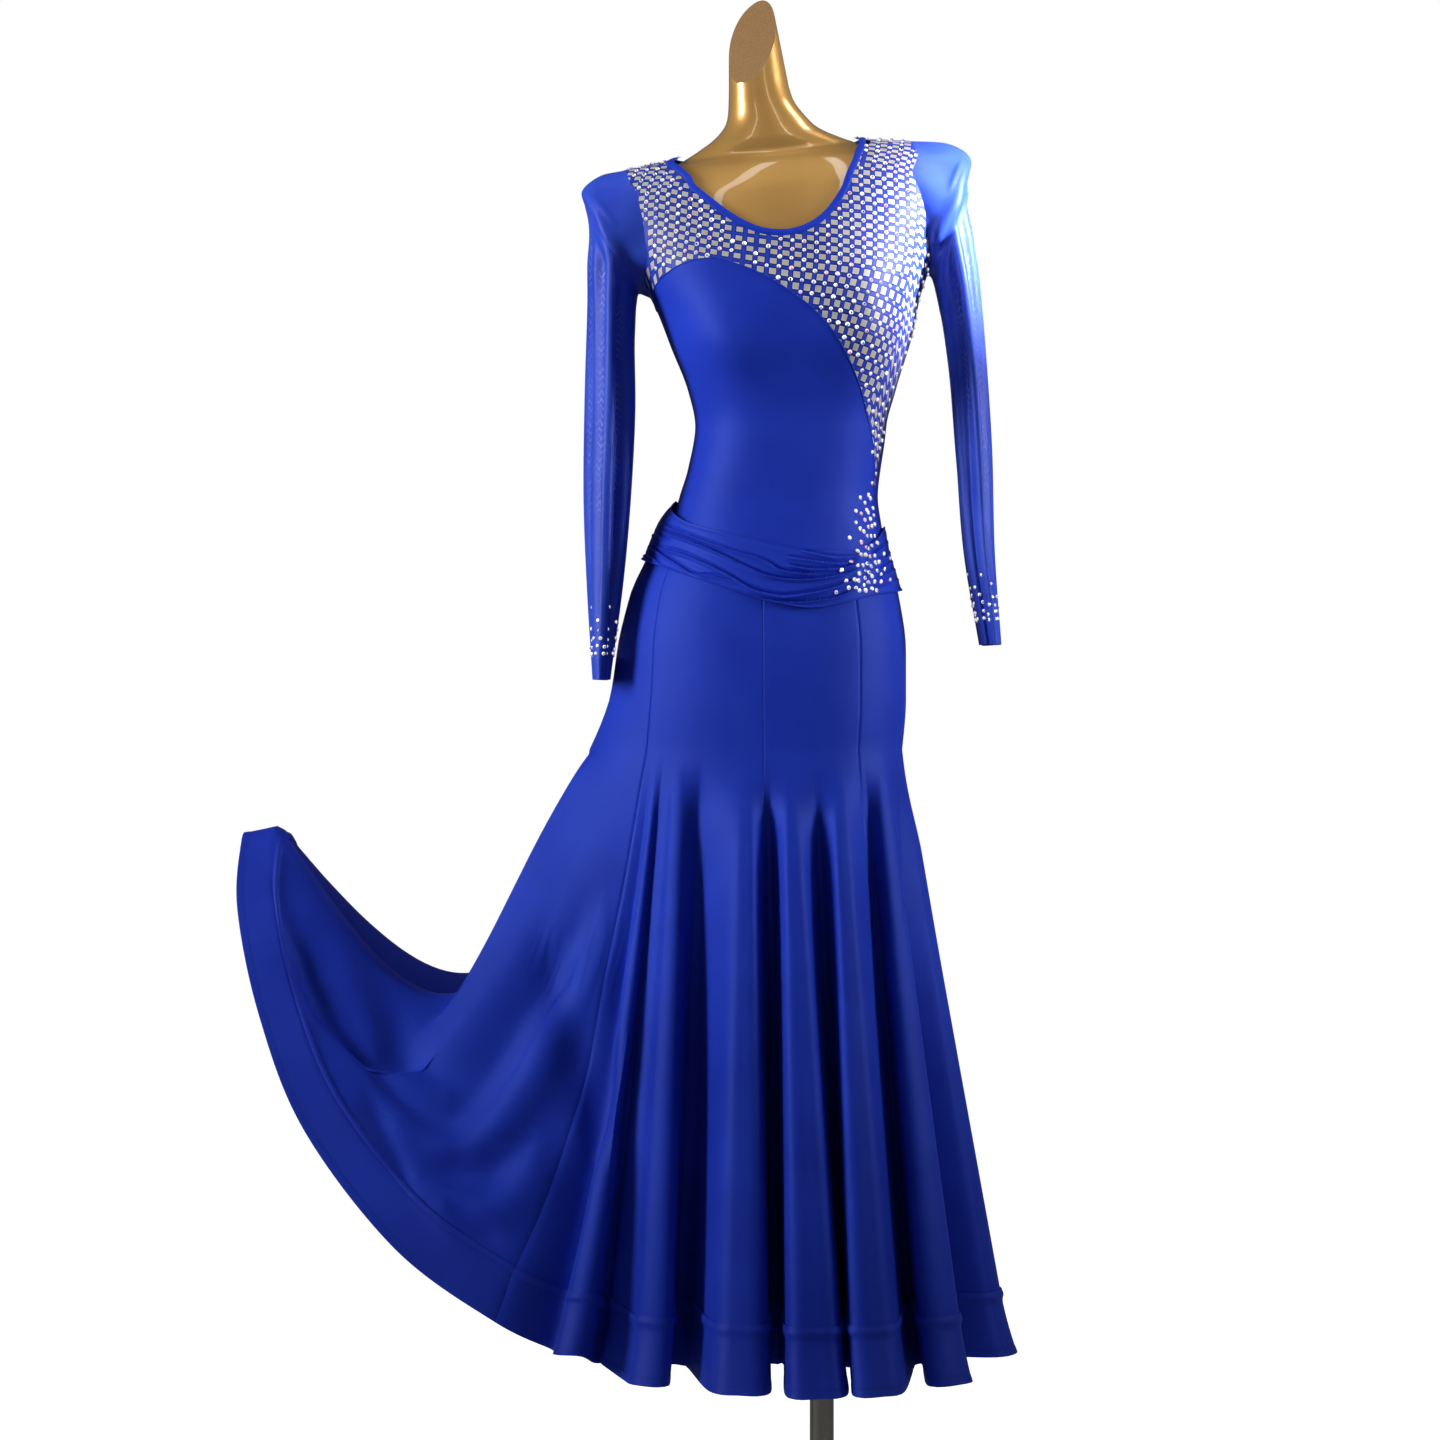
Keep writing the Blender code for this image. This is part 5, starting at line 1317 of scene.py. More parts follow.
@dataclass
class CheckLayout:
    """How the check's rows and columns run over the yoke: rows fall by a slope that changes across it."""

    body: Body
    slopes: tuple[tuple[float, float], ...] = (
        (-0.24, 0.3), (-0.13, 0.27), (-0.07, 0.2), (-0.01, 0.13), (0.05, 0.08), (0.16, 0.07),
    )
    row_z: float = 1.4
    turn_z: float = 1.388
    turn_ease: float = 0.03
    spread: float = 0.3
    shoulder: tuple[float, float, float] = (-0.047, -0.065, 1.474)
    tail_s: float = 0.04
    tail_fall: float = 0.15
    tail_lean: float = 0.38

    def places(self, bearing: Array, climb: Array) -> Array:
        """u and v in metres: s is the distance round the body from its front, and c the distance up it.

        v = c + G(s) and u = s - slope(s) (c - c0), with G the integral of the slope. Below turn_z, where the chest
        stands upright, the rows are further apart, and towards the tail they fall to the right and the columns lean.
        """
        points = self.body.point(bearing, climb)
        round_body = self.arc(bearing, climb)
        on_top = eased((climb - self.body.climb_at(self.shoulder[2])) / self.turn_ease)
        s = round_body * (1 - on_top) + (points[..., 0] - self.shoulder[0]) * on_top
        c = points[..., 2] + 0.9 * np.clip(points[..., 1] - self.shoulder[1], 0.0, None)
        knots, values = np.array(self.slopes).T
        dense = np.linspace(-0.3, 0.3, 601)
        slope = smooth(knots, values, dense)
        fall = np.cumsum(slope) * (dense[1] - dense[0])
        fall -= np.interp(0.0, dense, fall)
        low = np.clip(self.turn_z - points[..., 2], 0.0, None)
        sunk = low**2 / (low + self.turn_ease)
        right = np.clip(s - self.tail_s, 0.0, None)
        v = c - self.row_z + self.spread * sunk + np.interp(s, dense, fall)
        v = v + self.tail_fall * right**2 / (right + self.turn_ease) * eased(low / 0.07)
        u = s - np.interp(s, dense, slope) * (c - self.row_z) + self.tail_lean * eased((s + 0.02) / 0.1) * sunk
        return np.stack([u, v], axis=-1)

    def arc(self, bearing: Array, climb: Array) -> Array:
        """Distance round the body at one climb from its front, summed in steps of 1.5 degrees."""
        steps = np.linspace(0.0, 1.0, 61)[:, None, None]
        run = self.body.point(bearing[None] * steps, climb[None])
        return np.sign(bearing) * np.linalg.norm(np.diff(run, axis=0), axis=-1).sum(axis=0)


@dataclass
class Bodice:
    """The plain front, the check yoke and the back, with the stones, the piping and the neck's binding."""

    body: Body
    seams: Seams
    cord: float = 0.7 * MM
    groove_at: float = 0.8
    groove_width: float = 0.05
    groove_depth: float = 0.5 * MM
    up: int = 6
    across: int = 5

    def panel(self, name: str, places: Array) -> Panel:
        """A close-fitting panel: points on the body, and the cloth's thickness out along its normals."""
        fine = finer(places, self.up, self.across)
        points = self.body.point(fine[..., 0], fine[..., 1])
        normals = self.body.normal(fine[..., 0], fine[..., 1])
        return Panel(name, points, points + normals * CLOTH, metres(points))

    def build(self) -> list[StoneBed]:
        """Builds the three panels and what is sewn on them.

        Returns:
            The sheets that stones may sit on, in places of the front view.
        """
        seams, body = self.seams, self.body
        left_columns, right_columns = SHOULDER_COLUMNS
        top = join(
            np.linspace(seams.armhole_left[-1], seams.neck_front[0], left_columns + 1),
            seams.neck_front,
            np.linspace(seams.neck_front[-1], seams.armhole_right[-1], right_columns + 1),
        )
        left, right = join(seams.left_high, seams.armhole_left), join(seams.right_high, seams.armhole_right)
        grid = fill(seams.style, top, left, right)
        check = self.panel("yoke_check", grid)
        fine = finer(grid, self.up, self.across)
        layout = CheckLayout(body)
        check.uv = layout.places(fine[..., 0], fine[..., 1])
        settle(check.build(Finish.CHECK), ["bodice_front_check"])
        self.yoke_stones(check)

        waist = self.level(SIDE_LEFT[0].value, SIDE_RIGHT[0].value, BODICE_COLUMNS)
        left, right = body.evenly(seams.left_low, FRONT_ROWS), body.evenly(seams.right_low, FRONT_ROWS)
        plain = self.panel("front_plain", fill(waist, seams.style, left, right))
        settle(plain.build(Finish.BLUE), ["bodice_front_plain"])

        waist = self.level(SIDE_RIGHT[0].value, SIDE_LEFT[0].value + 360.0, BACK_COLUMNS)
        top = join(
            np.linspace(seams.back_armhole_right[-1], seams.neck_back[0], right_columns + 1),
            seams.neck_back,
            np.linspace(seams.neck_back[-1], seams.back_armhole_left[-1], left_columns + 1),
        )
        left = join(seams.right_low, seams.right_high, seams.back_armhole_right)
        right = join(turned_round(seams.left_low), turned_round(seams.left_high), seams.back_armhole_left)
        back = self.panel("back_plain", fill(waist, top, left, right))
        settle(back.build(Finish.BLUE), ["bodice_back"])
        self.piping()
        self.binding()
        return [StoneBed(points, grid_normals(points), seen(points)) for points in (plain.outer, check.outer)]

    def level(self, start: float, end: float, count: int) -> Array:
        """A level run of places round the waist seam."""
        return np.stack([np.linspace(start, end, count + 1), np.full(count + 1, self.body.climb_at(WAIST_SEAM_Z))], 1)

    def yoke_stones(self, check: Panel) -> None:
        """One stone where the blue lines of the check cross, half a pitch from every square."""
        finish = Finish.CHECK.value
        random = np.random.default_rng(SEED)
        i, j = np.meshgrid(np.arange(-30, 31), np.arange(-40, 25))
        targets = np.stack([(i.ravel() + 0.5) * finish.across, (j.ravel() + 0.5) * finish.up], axis=1)
        low, high = check.uv.reshape(-1, 2).min(axis=0), check.uv.reshape(-1, 2).max(axis=0)
        targets = targets[((targets > low) & (targets < high)).all(axis=1)]
        targets = targets + random.normal(0.0, 0.25 * MM, targets.shape)
        bed = StoneBed(check.outer, grid_normals(check.outer), check.uv)
        sizes = random.uniform(0.85, 1.1, len(targets))
        settle(Stones("yoke_stones", 2.6 * MM, 1.9 * MM).on(bed, targets, 3.2 * MM, sizes))

    def piping(self) -> None:
        """A thin cord sewn into the seam between the yoke and the plain front."""
        run = spline(self.seams.style, 8)
        path = self.body.point(*run.T) + self.body.normal(*run.T) * (CLOTH + 0.1 * MM)
        settle(tube("style_piping", path, self.cord, Finish.BINDING))

    def binding(self) -> None:
        """The neck's binding: across its width the lift is a half oval with a narrow groove beside its fold."""
        edges = (self.seams.binding_low, self.seams.binding_top)
        runs = [spline(np.vstack([run, turned_round(run[:1])]), 4)[:-1] for run in edges]
        lower, upper = (self.body.point(*run.T) for run in runs)
        normals = [self.body.normal(*run.T) for run in runs]
        share = np.linspace(0.0, 1.0, 15)[:, None, None]
        across = lower + unit(upper - lower) * SEAM_GAP / 2 + (upper - lower) * share * 0.985
        out = unit(normals[0] * (1 - share) + normals[1] * share)
        oval = (1 - np.abs(2 * share - 1) ** 3.0) ** 0.5
        groove = self.groove_depth * bell((share - self.groove_at) / self.groove_width)
        outer = across + out * (BINDING_THICK * (0.35 + 0.65 * oval) - groove)
        panel = Panel("neck_binding_strip", across, outer, metres(across, True), closed=True)
        settle(panel.build(Finish.BINDING), ["neck_binding"])


# ---- sleeves
CAP_FOLDS = (  # of both shoulders, in the front view: the pad's edge, and the cloth's pull down to the armpit
    Fold(((-0.258, 1.47), (-0.2554, 1.466), (-0.24, 1.447), (-0.2279, 1.429)), 0.0035, 0.0012),
    Fold(((-0.262, 1.452), (-0.24, 1.41), (-0.213, 1.372)), 0.01, 0.003),
    Fold(((0.1585, 1.51), (0.1519, 1.4965), (0.1462, 1.4822), (0.141, 1.47)), 0.0025, 0.0015),
    Fold(((0.1618, 1.4784), (0.1389, 1.4426), (0.1187, 1.4022)), 0.007, 0.004),
)


@dataclass(frozen=True)
class SleeveFold:
    """A lengthwise ridge or trough of a sleeve: its angles at both ends, its reach down, width and height."""

    angle_top: float
    angle_foot: float
    start: float
    end: float
    width: float
    height: float


class CuffRow(NamedTuple):
    """A row of stones over the cuff: how many, and how far above the lowest row, in millimetres."""

    count: int
    rise: float


CUFF_ROWS = table(CuffRow, (20, 0), (18, 8), (15, 16.5), (11, 26), (7, 37), (4, 50))
CUFF_FOOT = 28 * MM


@dataclass
class Sleeve:
    """An empty sheer sleeve hanging from its armhole, with its studded cuff."""

    body: Body
    name: str
    sections: Sequence[Section]
    armhole_front: Array
    armhole_back: Array
    folds: Sequence[SleeveFold]
    painted_moire_streaks: Sequence[SleeveFold]
    fold: float = 0.14
    fold_count: int = 5
    clearance: float = 1.2 * MM
    pad_end: float = 0.46
    cuff_start: float = 0.955
    up: int = 12
    across: int = 8

    def coarse(self) -> Array:
        """Ovals middle + (reach cos a + depth sin a)(1 + 0.14 sin(5 a + 2 drop)), from the cuff up to the armhole."""
        front, back = len(self.armhole_front) - 1, len(self.armhole_back) - 1
        loop = np.vstack([self.armhole_front[::-1], self.armhole_back[1:-1]])
        halves = np.linspace(0.0, 180.0, front + 1)[:-1], np.linspace(180.0, 360.0, back + 1)[:-1]
        turn = np.radians(np.concatenate(halves))[:, None]
        rings = [self.body.point(*loop.T)]
        top, foot = self.sections[0].outer_z, self.sections[-1].outer_z
        for row in self.sections:
            outer = np.array([row.outer_x, row.centre_y, row.outer_z])
            inner = np.array([row.inner_x, row.centre_y, row.inner_z])
            middle, reach = (outer + inner) / 2, (outer - inner) / 2
            drop = (top - row.outer_z) / (top - foot)
            fold = 1.0 + self.fold * min(1.0, 3.0 * drop) * np.sin(self.fold_count * turn + 2.0 * drop)
            depth = np.array([0.0, -row.half_depth, 0.0])
            rings.append(middle + (reach * np.cos(turn) + depth * np.sin(turn)) * fold)
        grid = np.array(rings)
        grid[1:4] = self.clear_of_body(grid[1:4])
        if self.sections[0].outer_x > 0:
            grid = grid[:, ::-1]
        return grid[::-1]

    def clear_of_body(self, points: Array) -> Array:
        """Moves points out along the body's normal until each is clear of it."""
        bearing, climb = np.meshgrid(np.linspace(-180, 180, 145), np.linspace(0.2, self.body.climbs[-1], 150))
        skin = self.body.point(bearing, climb).reshape(-1, 3)
        out = self.body.normal(bearing, climb).reshape(-1, 3)
        flat = points.reshape(-1, 3).copy()
        for _ in range(3):
            near = ((skin[None] - flat[:, None]) ** 2).sum(axis=-1).argmin(axis=1)
            depth = ((flat - skin[near]) * out[near]).sum(axis=1)
            flat += out[near] * np.maximum(self.clearance - depth, 0.0)[:, None]
        return flat.reshape(points.shape)

    @staticmethod
    def bells(folds: Sequence[SleeveFold], angle: Array, drop: Array) -> Array:
        """Sum of height exp(-(angle off the fold's line / width)^2), eased away at both ends of each fold."""
        total = np.zeros(np.broadcast(angle, drop).shape)
        for fold in folds:
            centre = fold.angle_top + (fold.angle_foot - fold.angle_top) * drop
            away = signed_turn(angle - centre)
            fade = eased((drop - fold.start) / 0.1) * eased((fold.end - drop) / 0.15)
            total += fold.height * fade * bell(away / fold.width)
        return total

    def build(self, cut: Cut) -> None:
        """The fine tube with its lengthwise folds, and over its front half the cap's folds of the front view."""
        grid = finer(self.coarse(), self.up, self.across, closed=True)
        rows, columns = grid.shape[:2]
        drop = np.linspace(1.0, 0.0, rows)[:, None]
        angle = np.linspace(0.0, 360.0, columns, endpoint=False)[None, :]
        if self.sections[0].outer_x > 0:
            angle = (-angle) % 360.0
        cap = folded(CAP_FOLDS, grid)[..., 0] * eased(3.0 * np.sin(np.radians(angle))) * eased((drop - 0.02) / 0.06)
        lift = self.bells(self.folds, angle, drop) + cap
        inner = grid + grid_normals(grid, True) * lift[..., None]
        inner[-1] += unit(inner[-2] - inner[-1]) * SEAM_GAP / 2
        close = 0.25 + 0.55 * eased((self.pad_end - drop) / 0.15) + 0.9 * eased((drop - self.cuff_start) / 0.01)
        uv = metres(inner, True)
        panel = Panel(self.name + "_mesh", inner, inner + grid_normals(inner, True) * MESH_CLOTH, uv, True)
        panel.carried["close"] = np.clip(close + 0.0 * angle, 0.0, 1.2)
        # painted light: each sleeve carries where its pale moire streaks are painted
        panel.carried["painted_moire_streak"] = np.clip(self.bells(self.painted_moire_streaks, angle, drop), 0.0, 1.0)
        settle(panel.build(Finish.MESH), [self.name])
        self.cuff_stones(panel)

    def cuff_stones(self, panel: Panel) -> None:
        """Staggered rows of small stones over the cuff, closer together towards its edge."""
        rows = int(panel.outer.shape[0] * 0.35)
        bed = StoneBed(panel.outer[:rows], grid_normals(panel.outer, True)[:rows], panel.uv[:rows, :-1])
        width = np.ptp(bed.places[0, :, 0])
        random = np.random.default_rng(SEED + 3)
        runs = [
            np.column_stack([((np.arange(n) + 0.5 * (k % 2)) / n - 0.5) * width, np.full(n, CUFF_FOOT + rise * MM)])
            for k, (n, rise) in enumerate(CUFF_ROWS)
        ]
        targets = np.vstack(runs)
        targets += random.normal(0.0, 1.2 * MM, targets.shape)
        settle(Stones(self.name + "_stones", 2.2 * MM, 1.5 * MM, SEED + 5).on(bed, targets, 2.0 * MM))


# ---- sash and skirt
def drawn_out(bearing: Array, z: Array) -> Array:
    """How far the cloth at the left hip is drawn out: the pull at its height times exp(-(turn / spread)^2)."""
    turn = signed_turn(np.asarray(bearing, float) - PULL_BEARING)
    return at_level(HIP_PULL, z) * bell(turn / PULL_SPREAD)


def fitted(body: Body, bearing: Array, z: Array) -> Array:
    """A point of the skirt over the hip: on the body, drawn out at the left."""
    point = body.point(bearing, body.climb_at(z))
    point[..., 0] -= drawn_out(bearing, z)
    return point


class SashFold(NamedTuple):
    """One hidden fold of the sash: its share of the height at five bearings, how wide and how high it is."""

    shares: tuple[float, float, float, float, float]
    width: float
    height: float


def tuck(*path: tuple[int, int], height: float = 2.8, width: float = 2.0) -> Fold:
    """A pleat's rolled edge in the front view, in millimetres: a ridge below its line and a crevice above."""
    return Fold(tuple((x * MM, z * MM) for x, z in path), width * MM, height * MM, 1.0, 0.12)


SASH_TUCKS = (
    tuck((-182, 1102), (-158, 1092), (-129, 1081), (-97, 1069), (-64, 1059), (-43, 1047), (2, 1042), height=2.4),
    tuck(
        (-186, 1095), (-152, 1083), (-118, 1069), (-80, 1050), (-58, 1041), (-23, 1037), (17, 1042), (42, 1051),
        height=3.3,
    ),
    tuck(
        (-190, 1078), (-176, 1072), (-148, 1064), (-108, 1045), (-80, 1028), (-58, 1021), (-38, 1019), (2, 1026),
        (42, 1040), height=3.4, width=2.6,
    ),
    tuck((-193, 1077), (-163, 1057), (-140, 1043), (-121, 1041), (-89, 1032)),
    tuck((-140, 1034), (-121, 1028), (-74, 1017), (-38, 1012), (7, 1016), (42, 1030)),
    tuck((-190, 1090), (-178, 1085), (-164, 1080), height=1.6),
    tuck((-196, 1065), (-185, 1061), (-177, 1054), height=2.0),
    tuck((-25, 1070), (2, 1064), (17, 1062), (42, 1063), height=1.7),
    tuck((-43, 1063), (-23, 1060), (17, 1055), (40, 1060), height=1.8),
    tuck((-41, 1054), (-13, 1049), (20, 1050), (40, 1058)),
    tuck((52, 1065), (64, 1076), (72, 1086), height=1.8),
    tuck((57, 1057), (68, 1065), (76, 1079), height=1.8),
    tuck((60, 1049), (71, 1056), (83, 1066), height=1.8),
    tuck((57, 1038), (70, 1045), (84, 1054), height=1.8),
    tuck((52, 1031), (67, 1033), (85, 1040), height=1.8),
    Fold(((0.044, 1.072), (0.0458, 1.05), (0.045, 1.022)), 2.2 * MM, -2.0 * MM, 0.0, 0.15),
    Fold(((0.036, 1.07), (0.0375, 1.05), (0.037, 1.024)), 5.0 * MM, 1.5 * MM, 0.0, 0.2),
)


@dataclass
class Sash:
    """The pleated sash in two stretches that meet at a gather on the right: the tucks seen from the front are drawn
    in the front view, and those behind run round the body."""

    body: Body
    bearings: tuple[float, ...] = (35.0, 80.0, 140.0, 200.0, 262.0)
    hidden_from: float = 90.0
    seen_to: float = 92.0
    stones_to: float = 95.0
    rolled_edge: float = 0.03
    foot_roll: float = 1.4 * MM
    head_roll: float = 0.9 * MM
    rows: int = 96
    columns: int = 190
    folds: tuple[SashFold, ...] = table(
        SashFold,
        ((0.26, 0.12, 0.06, 0.05, 0.06), 0.04, 2.2 * MM), ((0.36, 0.26, 0.17, 0.22, 0.2), 0.035, 2.8 * MM),
        ((0.44, 0.36, 0.31, 0.29, 0.36), 0.045, 2.2 * MM), ((0.51, 0.52, 0.47, 0.48, 0.5), 0.05, 3 * MM),
        ((0.58, 0.63, 0.66, 0.6, 0.66), 0.035, 2.4 * MM), ((0.66, 0.74, 0.78, 0.8, 0.8), 0.045, 2.6 * MM),
        ((0.76, 0.88, 0.91, 0.9, 0.93), 0.04, 2 * MM),
    )

    def lift(self, bearing: Array, share: Array) -> Array:
        """Sum of the hidden folds' bells exp(-((share - line) / width)^2), swelling and dying away along them."""
        lift = np.zeros(np.broadcast(bearing, share).shape)
        for number, fold in enumerate(self.folds):
            line = smooth(np.array(self.bearings), np.array(fold.shares), bearing)
            swell = 0.75 + 0.35 * np.sin(np.radians(bearing * (1.3 + 0.22 * number)) + 1.7 * number)
            lift += fold.height * swell * bell((share - line) / fold.width)
        return lift * eased((bearing - self.hidden_from) / 30.0) * self.beside_seam(SASH[-1].bearing - bearing)

    @staticmethod
    def beside_seam(turn: Array) -> Array:
        """How much height the folds have near the left side: a quarter at the seam, all of it 16 degrees away."""
        return 0.25 + 0.75 * eased(turn / 16.0)

    def build(self) -> list[StoneBed]:
        """Both stretches; the outer sheet carries the folds, the inner one three quarters of them."""
        beds = []
        for name, start, end, cut in (
            ("sash_front", SASH[0].bearing, SASH_JOIN, SASH_FRONT_CUT),
            ("sash_back", SASH_JOIN, SASH[-1].bearing, SASH_BACK_CUT),
        ):
            bearing = np.linspace(start, end, self.columns + 1)[None, :]
            share = np.linspace(0.0, 1.0, self.rows + 1)[:, None]
            low = smooth(column(SASH, "bearing"), column(SASH, "low"), bearing)
            top = smooth(column(SASH, "bearing"), column(SASH, "top"), bearing)
            z = low + (top - low) * share
            points = fitted(self.body, bearing + 0 * share, z)
            normals = grid_normals(points)
            foot, head = (bell(edge / self.rolled_edge) for edge in (share, 1 - share))
            rolled = self.foot_roll * foot + self.head_roll * head
            in_front = eased((self.seen_to - bearing) / 20.0) * self.beside_seam(bearing - SASH[0].bearing)
            tucks = folded(SASH_TUCKS, points) * in_front[..., None] * eased(share / 0.06)[..., None]
            lift = 1.0 * MM + tucks + (self.lift(bearing, share) + rolled)[..., None]
            stand = SASH_CLEAR * (1 - 0.6 * eased((share - 0.9) / 0.1))[..., None]
            inner = points + normals * (CLOTH + stand + 0.75 * lift)
            outer = inner + normals * (CLOTH + 0.25 * lift)
            settle(Panel(name + "_cloth", inner, outer, metres(points)).build(Finish.BLUE), [name])
            bed = outer[:, : int(np.searchsorted(bearing[0], self.stones_to))]
            beds.append(StoneBed(bed, grid_normals(bed), seen(bed)))
        return beds


FRONT_FOLDS = (  # of the held side, in the front view
    Fold(((-0.549, 0.654), (-0.508, 0.563), (-0.49, 0.46)), 0.022, 0.005, 0.4),
    Fold(
        (
            (-0.5, 0.47), (-0.45, 0.428), (-0.405, 0.418), (-0.365, 0.45), (-0.305, 0.55), (-0.262, 0.628),
            (-0.24, 0.706),
        ),
        0.032, 0.0135, 0.6,
    ),
    Fold(((-0.465, 0.375), (-0.384, 0.348), (-0.345, 0.37), (-0.311, 0.43)), 0.03, 0.0115, 0.6),
    Fold(((-0.59, 0.65), (-0.575, 0.59), (-0.545, 0.517)), 0.014, -0.006),
    Fold(((-0.515, 0.475), (-0.492, 0.42), (-0.453, 0.34)), 0.015, -0.008),
    Fold(((-0.425, 0.348), (-0.388, 0.312), (-0.35, 0.292)), 0.013, -0.006),
    Fold(((-0.475, 0.44), (-0.43, 0.385), (-0.38, 0.36)), 0.02, -0.005),
    Fold(((-0.33, 0.66), (-0.3, 0.6), (-0.262, 0.48), (-0.24, 0.36)), 0.028, -0.011),
)


@dataclass
class Skirt:
    """The gored skirt: fitted to the hip, then ruled to the fluted hem, with the held side's sag and folds."""

    body: Body
    samples: int = 40
    column_step: float = 0.0075
    least_columns: int = 40
    most_columns: int = 110
    fit_rows: int = 16
    flare_rows: int = 84
    band_rows: int = 16

    def __post_init__(self) -> None:
        """Lays out the hem: a crest or a valley is three points of the plan, and the run is a closed spline."""
        plan, anchors = [], []
        for row in HEM:
            at = np.array([row.x, row.y, row.z])
            out = self.outward(at)
            side = np.array([-out[1], out[0], 0.0]) * abs(row.width) / 2
            back = out * row.width * 0.3
            anchors.append(len(plan) + (1 if row.width else 0))
            plan += [at - back - side, at, at - back + side] if row.width else [at]
        run = spline(plan, self.samples, closed=True)
        self.hem = np.vstack([run, run[:1]])
        self.run = lengths(self.hem)
        self.length = self.run[-1]
        self.marks = np.append(self.run[np.array(anchors) * self.samples], self.length)
        self.bearings = np.append(column(HEM, "bearing"), HEM[0].bearing + 360.0)
        edge = np.stack([column(HEM, name) for name in "xyz"], axis=1)
        self.unfolded = (np.roll(edge, 1, axis=0) + 2 * edge + np.roll(edge, -1, axis=0)) / 4

    @staticmethod
    def outward(points: Array) -> Array:
        """Level direction away from the middle of the hem."""
        flat = points[..., :2] - np.array(HEM_CENTRE)
        return unit(np.concatenate([flat, np.zeros_like(flat[..., :1])], axis=-1))

    def bearing_at(self, along: Array) -> Array:
        """Bearing at the hip of a place along the hem."""
        return smooth(self.marks, self.bearings, along)

    def along_at(self, bearing: Array) -> Array:
        """The place along the hem that a bearing at the hip falls to."""
        fine = np.linspace(0.0, self.length, 6000)
        return np.interp(bearing, self.bearing_at(fine), fine)

    def hem_at(self, along: Array) -> Array:
        """The hem's edge at places along it."""
        return np.stack([np.interp(along, self.run, self.hem[:, k]) for k in range(3)], axis=-1)

    def wrap(self, values: Array, along: Array) -> Array:
        """One of the hem table's columns at places along the hem."""
        return smooth(self.marks, np.append(values, values[0]), along)

    def point(self, along: Array, drop: Array) -> Array:
        """The skirt by place along the hem and drop, -1 at the waist seam, 0 at the hip and 1 at the hem.

        It is ruled from the hip to the smoothed hem. The flutes open by smoothstep below the hip, some lower than
        others, and each line of cloth sags by sin(pi share^skew).
        """
        along, drop = np.broadcast_arrays(np.asarray(along, float), np.asarray(drop, float))
        along = np.where(along > self.length, along - self.length, np.where(along < 0, along + self.length, along))
        z = HIP_Z + (WAIST_SEAM_Z - SEAM_GAP - HIP_Z) * np.clip(-drop, 0.0, 1.0)
        point = fitted(self.body, self.bearing_at(along), z)
        fall = np.clip(drop, 0.0, None)[..., None]
        start = FOLD_START * (1 + FOLD_STAGGER * np.sin(np.radians(4.0 * self.bearing_at(along)) + 1.0))[..., None]
        opened = (fall + FOLD_LEAD * (1 - eased(fall / FOLD_LEAD_END))) * eased(fall / start)
        unfolded = np.stack([self.wrap(values, along) for values in self.unfolded.T], axis=-1)
        point = point + (unfolded - point) * fall + (self.hem_at(along) - unfolded) * opened
        share = np.clip(drop / ARCH_END, 0.0, 1.0)
        arch = np.sin(np.pi * share ** self.wrap(column(HEM, "skew"), along))
        point[..., 2] -= self.wrap(column(HEM, "sag"), along) * arch
        point[..., 1] += self.wrap(column(HEM, "bow"), along) * arch
        return point

    def creased(self, along: Array, drop: Array) -> Array:
        """Depth of the broad creases: a sine along each and exp(-(drop off its line / spread)^2) across it."""
        bearing, depth = self.bearing_at(along), 0.0
        for crease in CREASES:
            share = np.clip((bearing - crease.bearing_from) / (crease.bearing_to - crease.bearing_from), 0.0, 1.0)
            line = crease.drop_from + (crease.drop_to - crease.drop_from) * share
            depth = depth + crease.depth * np.sin(np.pi * share) * bell((drop - line) / crease.spread)
        return depth

    def surface(self, number: int, drops: Array) -> tuple[Array, Array]:
        """A gore's inner sheet between its two seams, with creases and folds, and its own normals."""
        bearings = np.array(GORES + (GORES[0] + 360.0,))[number : number + 2]
        start, end = self.along_at(bearings)
        count = int(np.clip(round((end - start) / self.column_step), self.least_columns, self.most_columns))
        beside = 0.012 - 0.008 * np.clip(drops, 0.0, 1.0)
        middle = start + beside + (end - start - 2 * beside) * np.linspace(0.0, 1.0, count + 1)
        along = np.concatenate([np.full_like(drops, start), middle, np.full_like(drops, end)], axis=1)
        points = self.point(along, drops)
        normals = grid_normals(points)
        lift = self.creased(along, drops)[..., None]
        lift[:, [0, -1]] -= SEAM_GROOVE
        if number < 2:
            lift = lift + folded(FRONT_FOLDS, points)
        return points + normals * lift, along

    def build(self) -> None:
        """Every gore and its band, which is thickest in the ridge along its top and flares out at the hem."""
        fitted_drops, flared = np.linspace(-1.0, 0.0, self.fit_rows + 1), np.linspace(0.0, 0.9, self.flare_rows + 1)
        gore_drops = np.concatenate([fitted_drops[:-1], flared])[::-1, None]
        below = np.linspace(-0.003, HEM_BAND, self.band_rows + 1)
        below = np.concatenate([BAND_TOP_ROWS, below[3:]])[::-1, None]
        for number in range(len(GORES)):
            inner, _ = self.surface(number, gore_drops)
            outer = inner + grid_normals(inner) * CLOTH
            panel = Panel(f"gore_{number + 1}", inner, outer, metres(inner))
            settle(panel.build(Finish.BLUE), [f"skirt_gore_{number + 1}"])

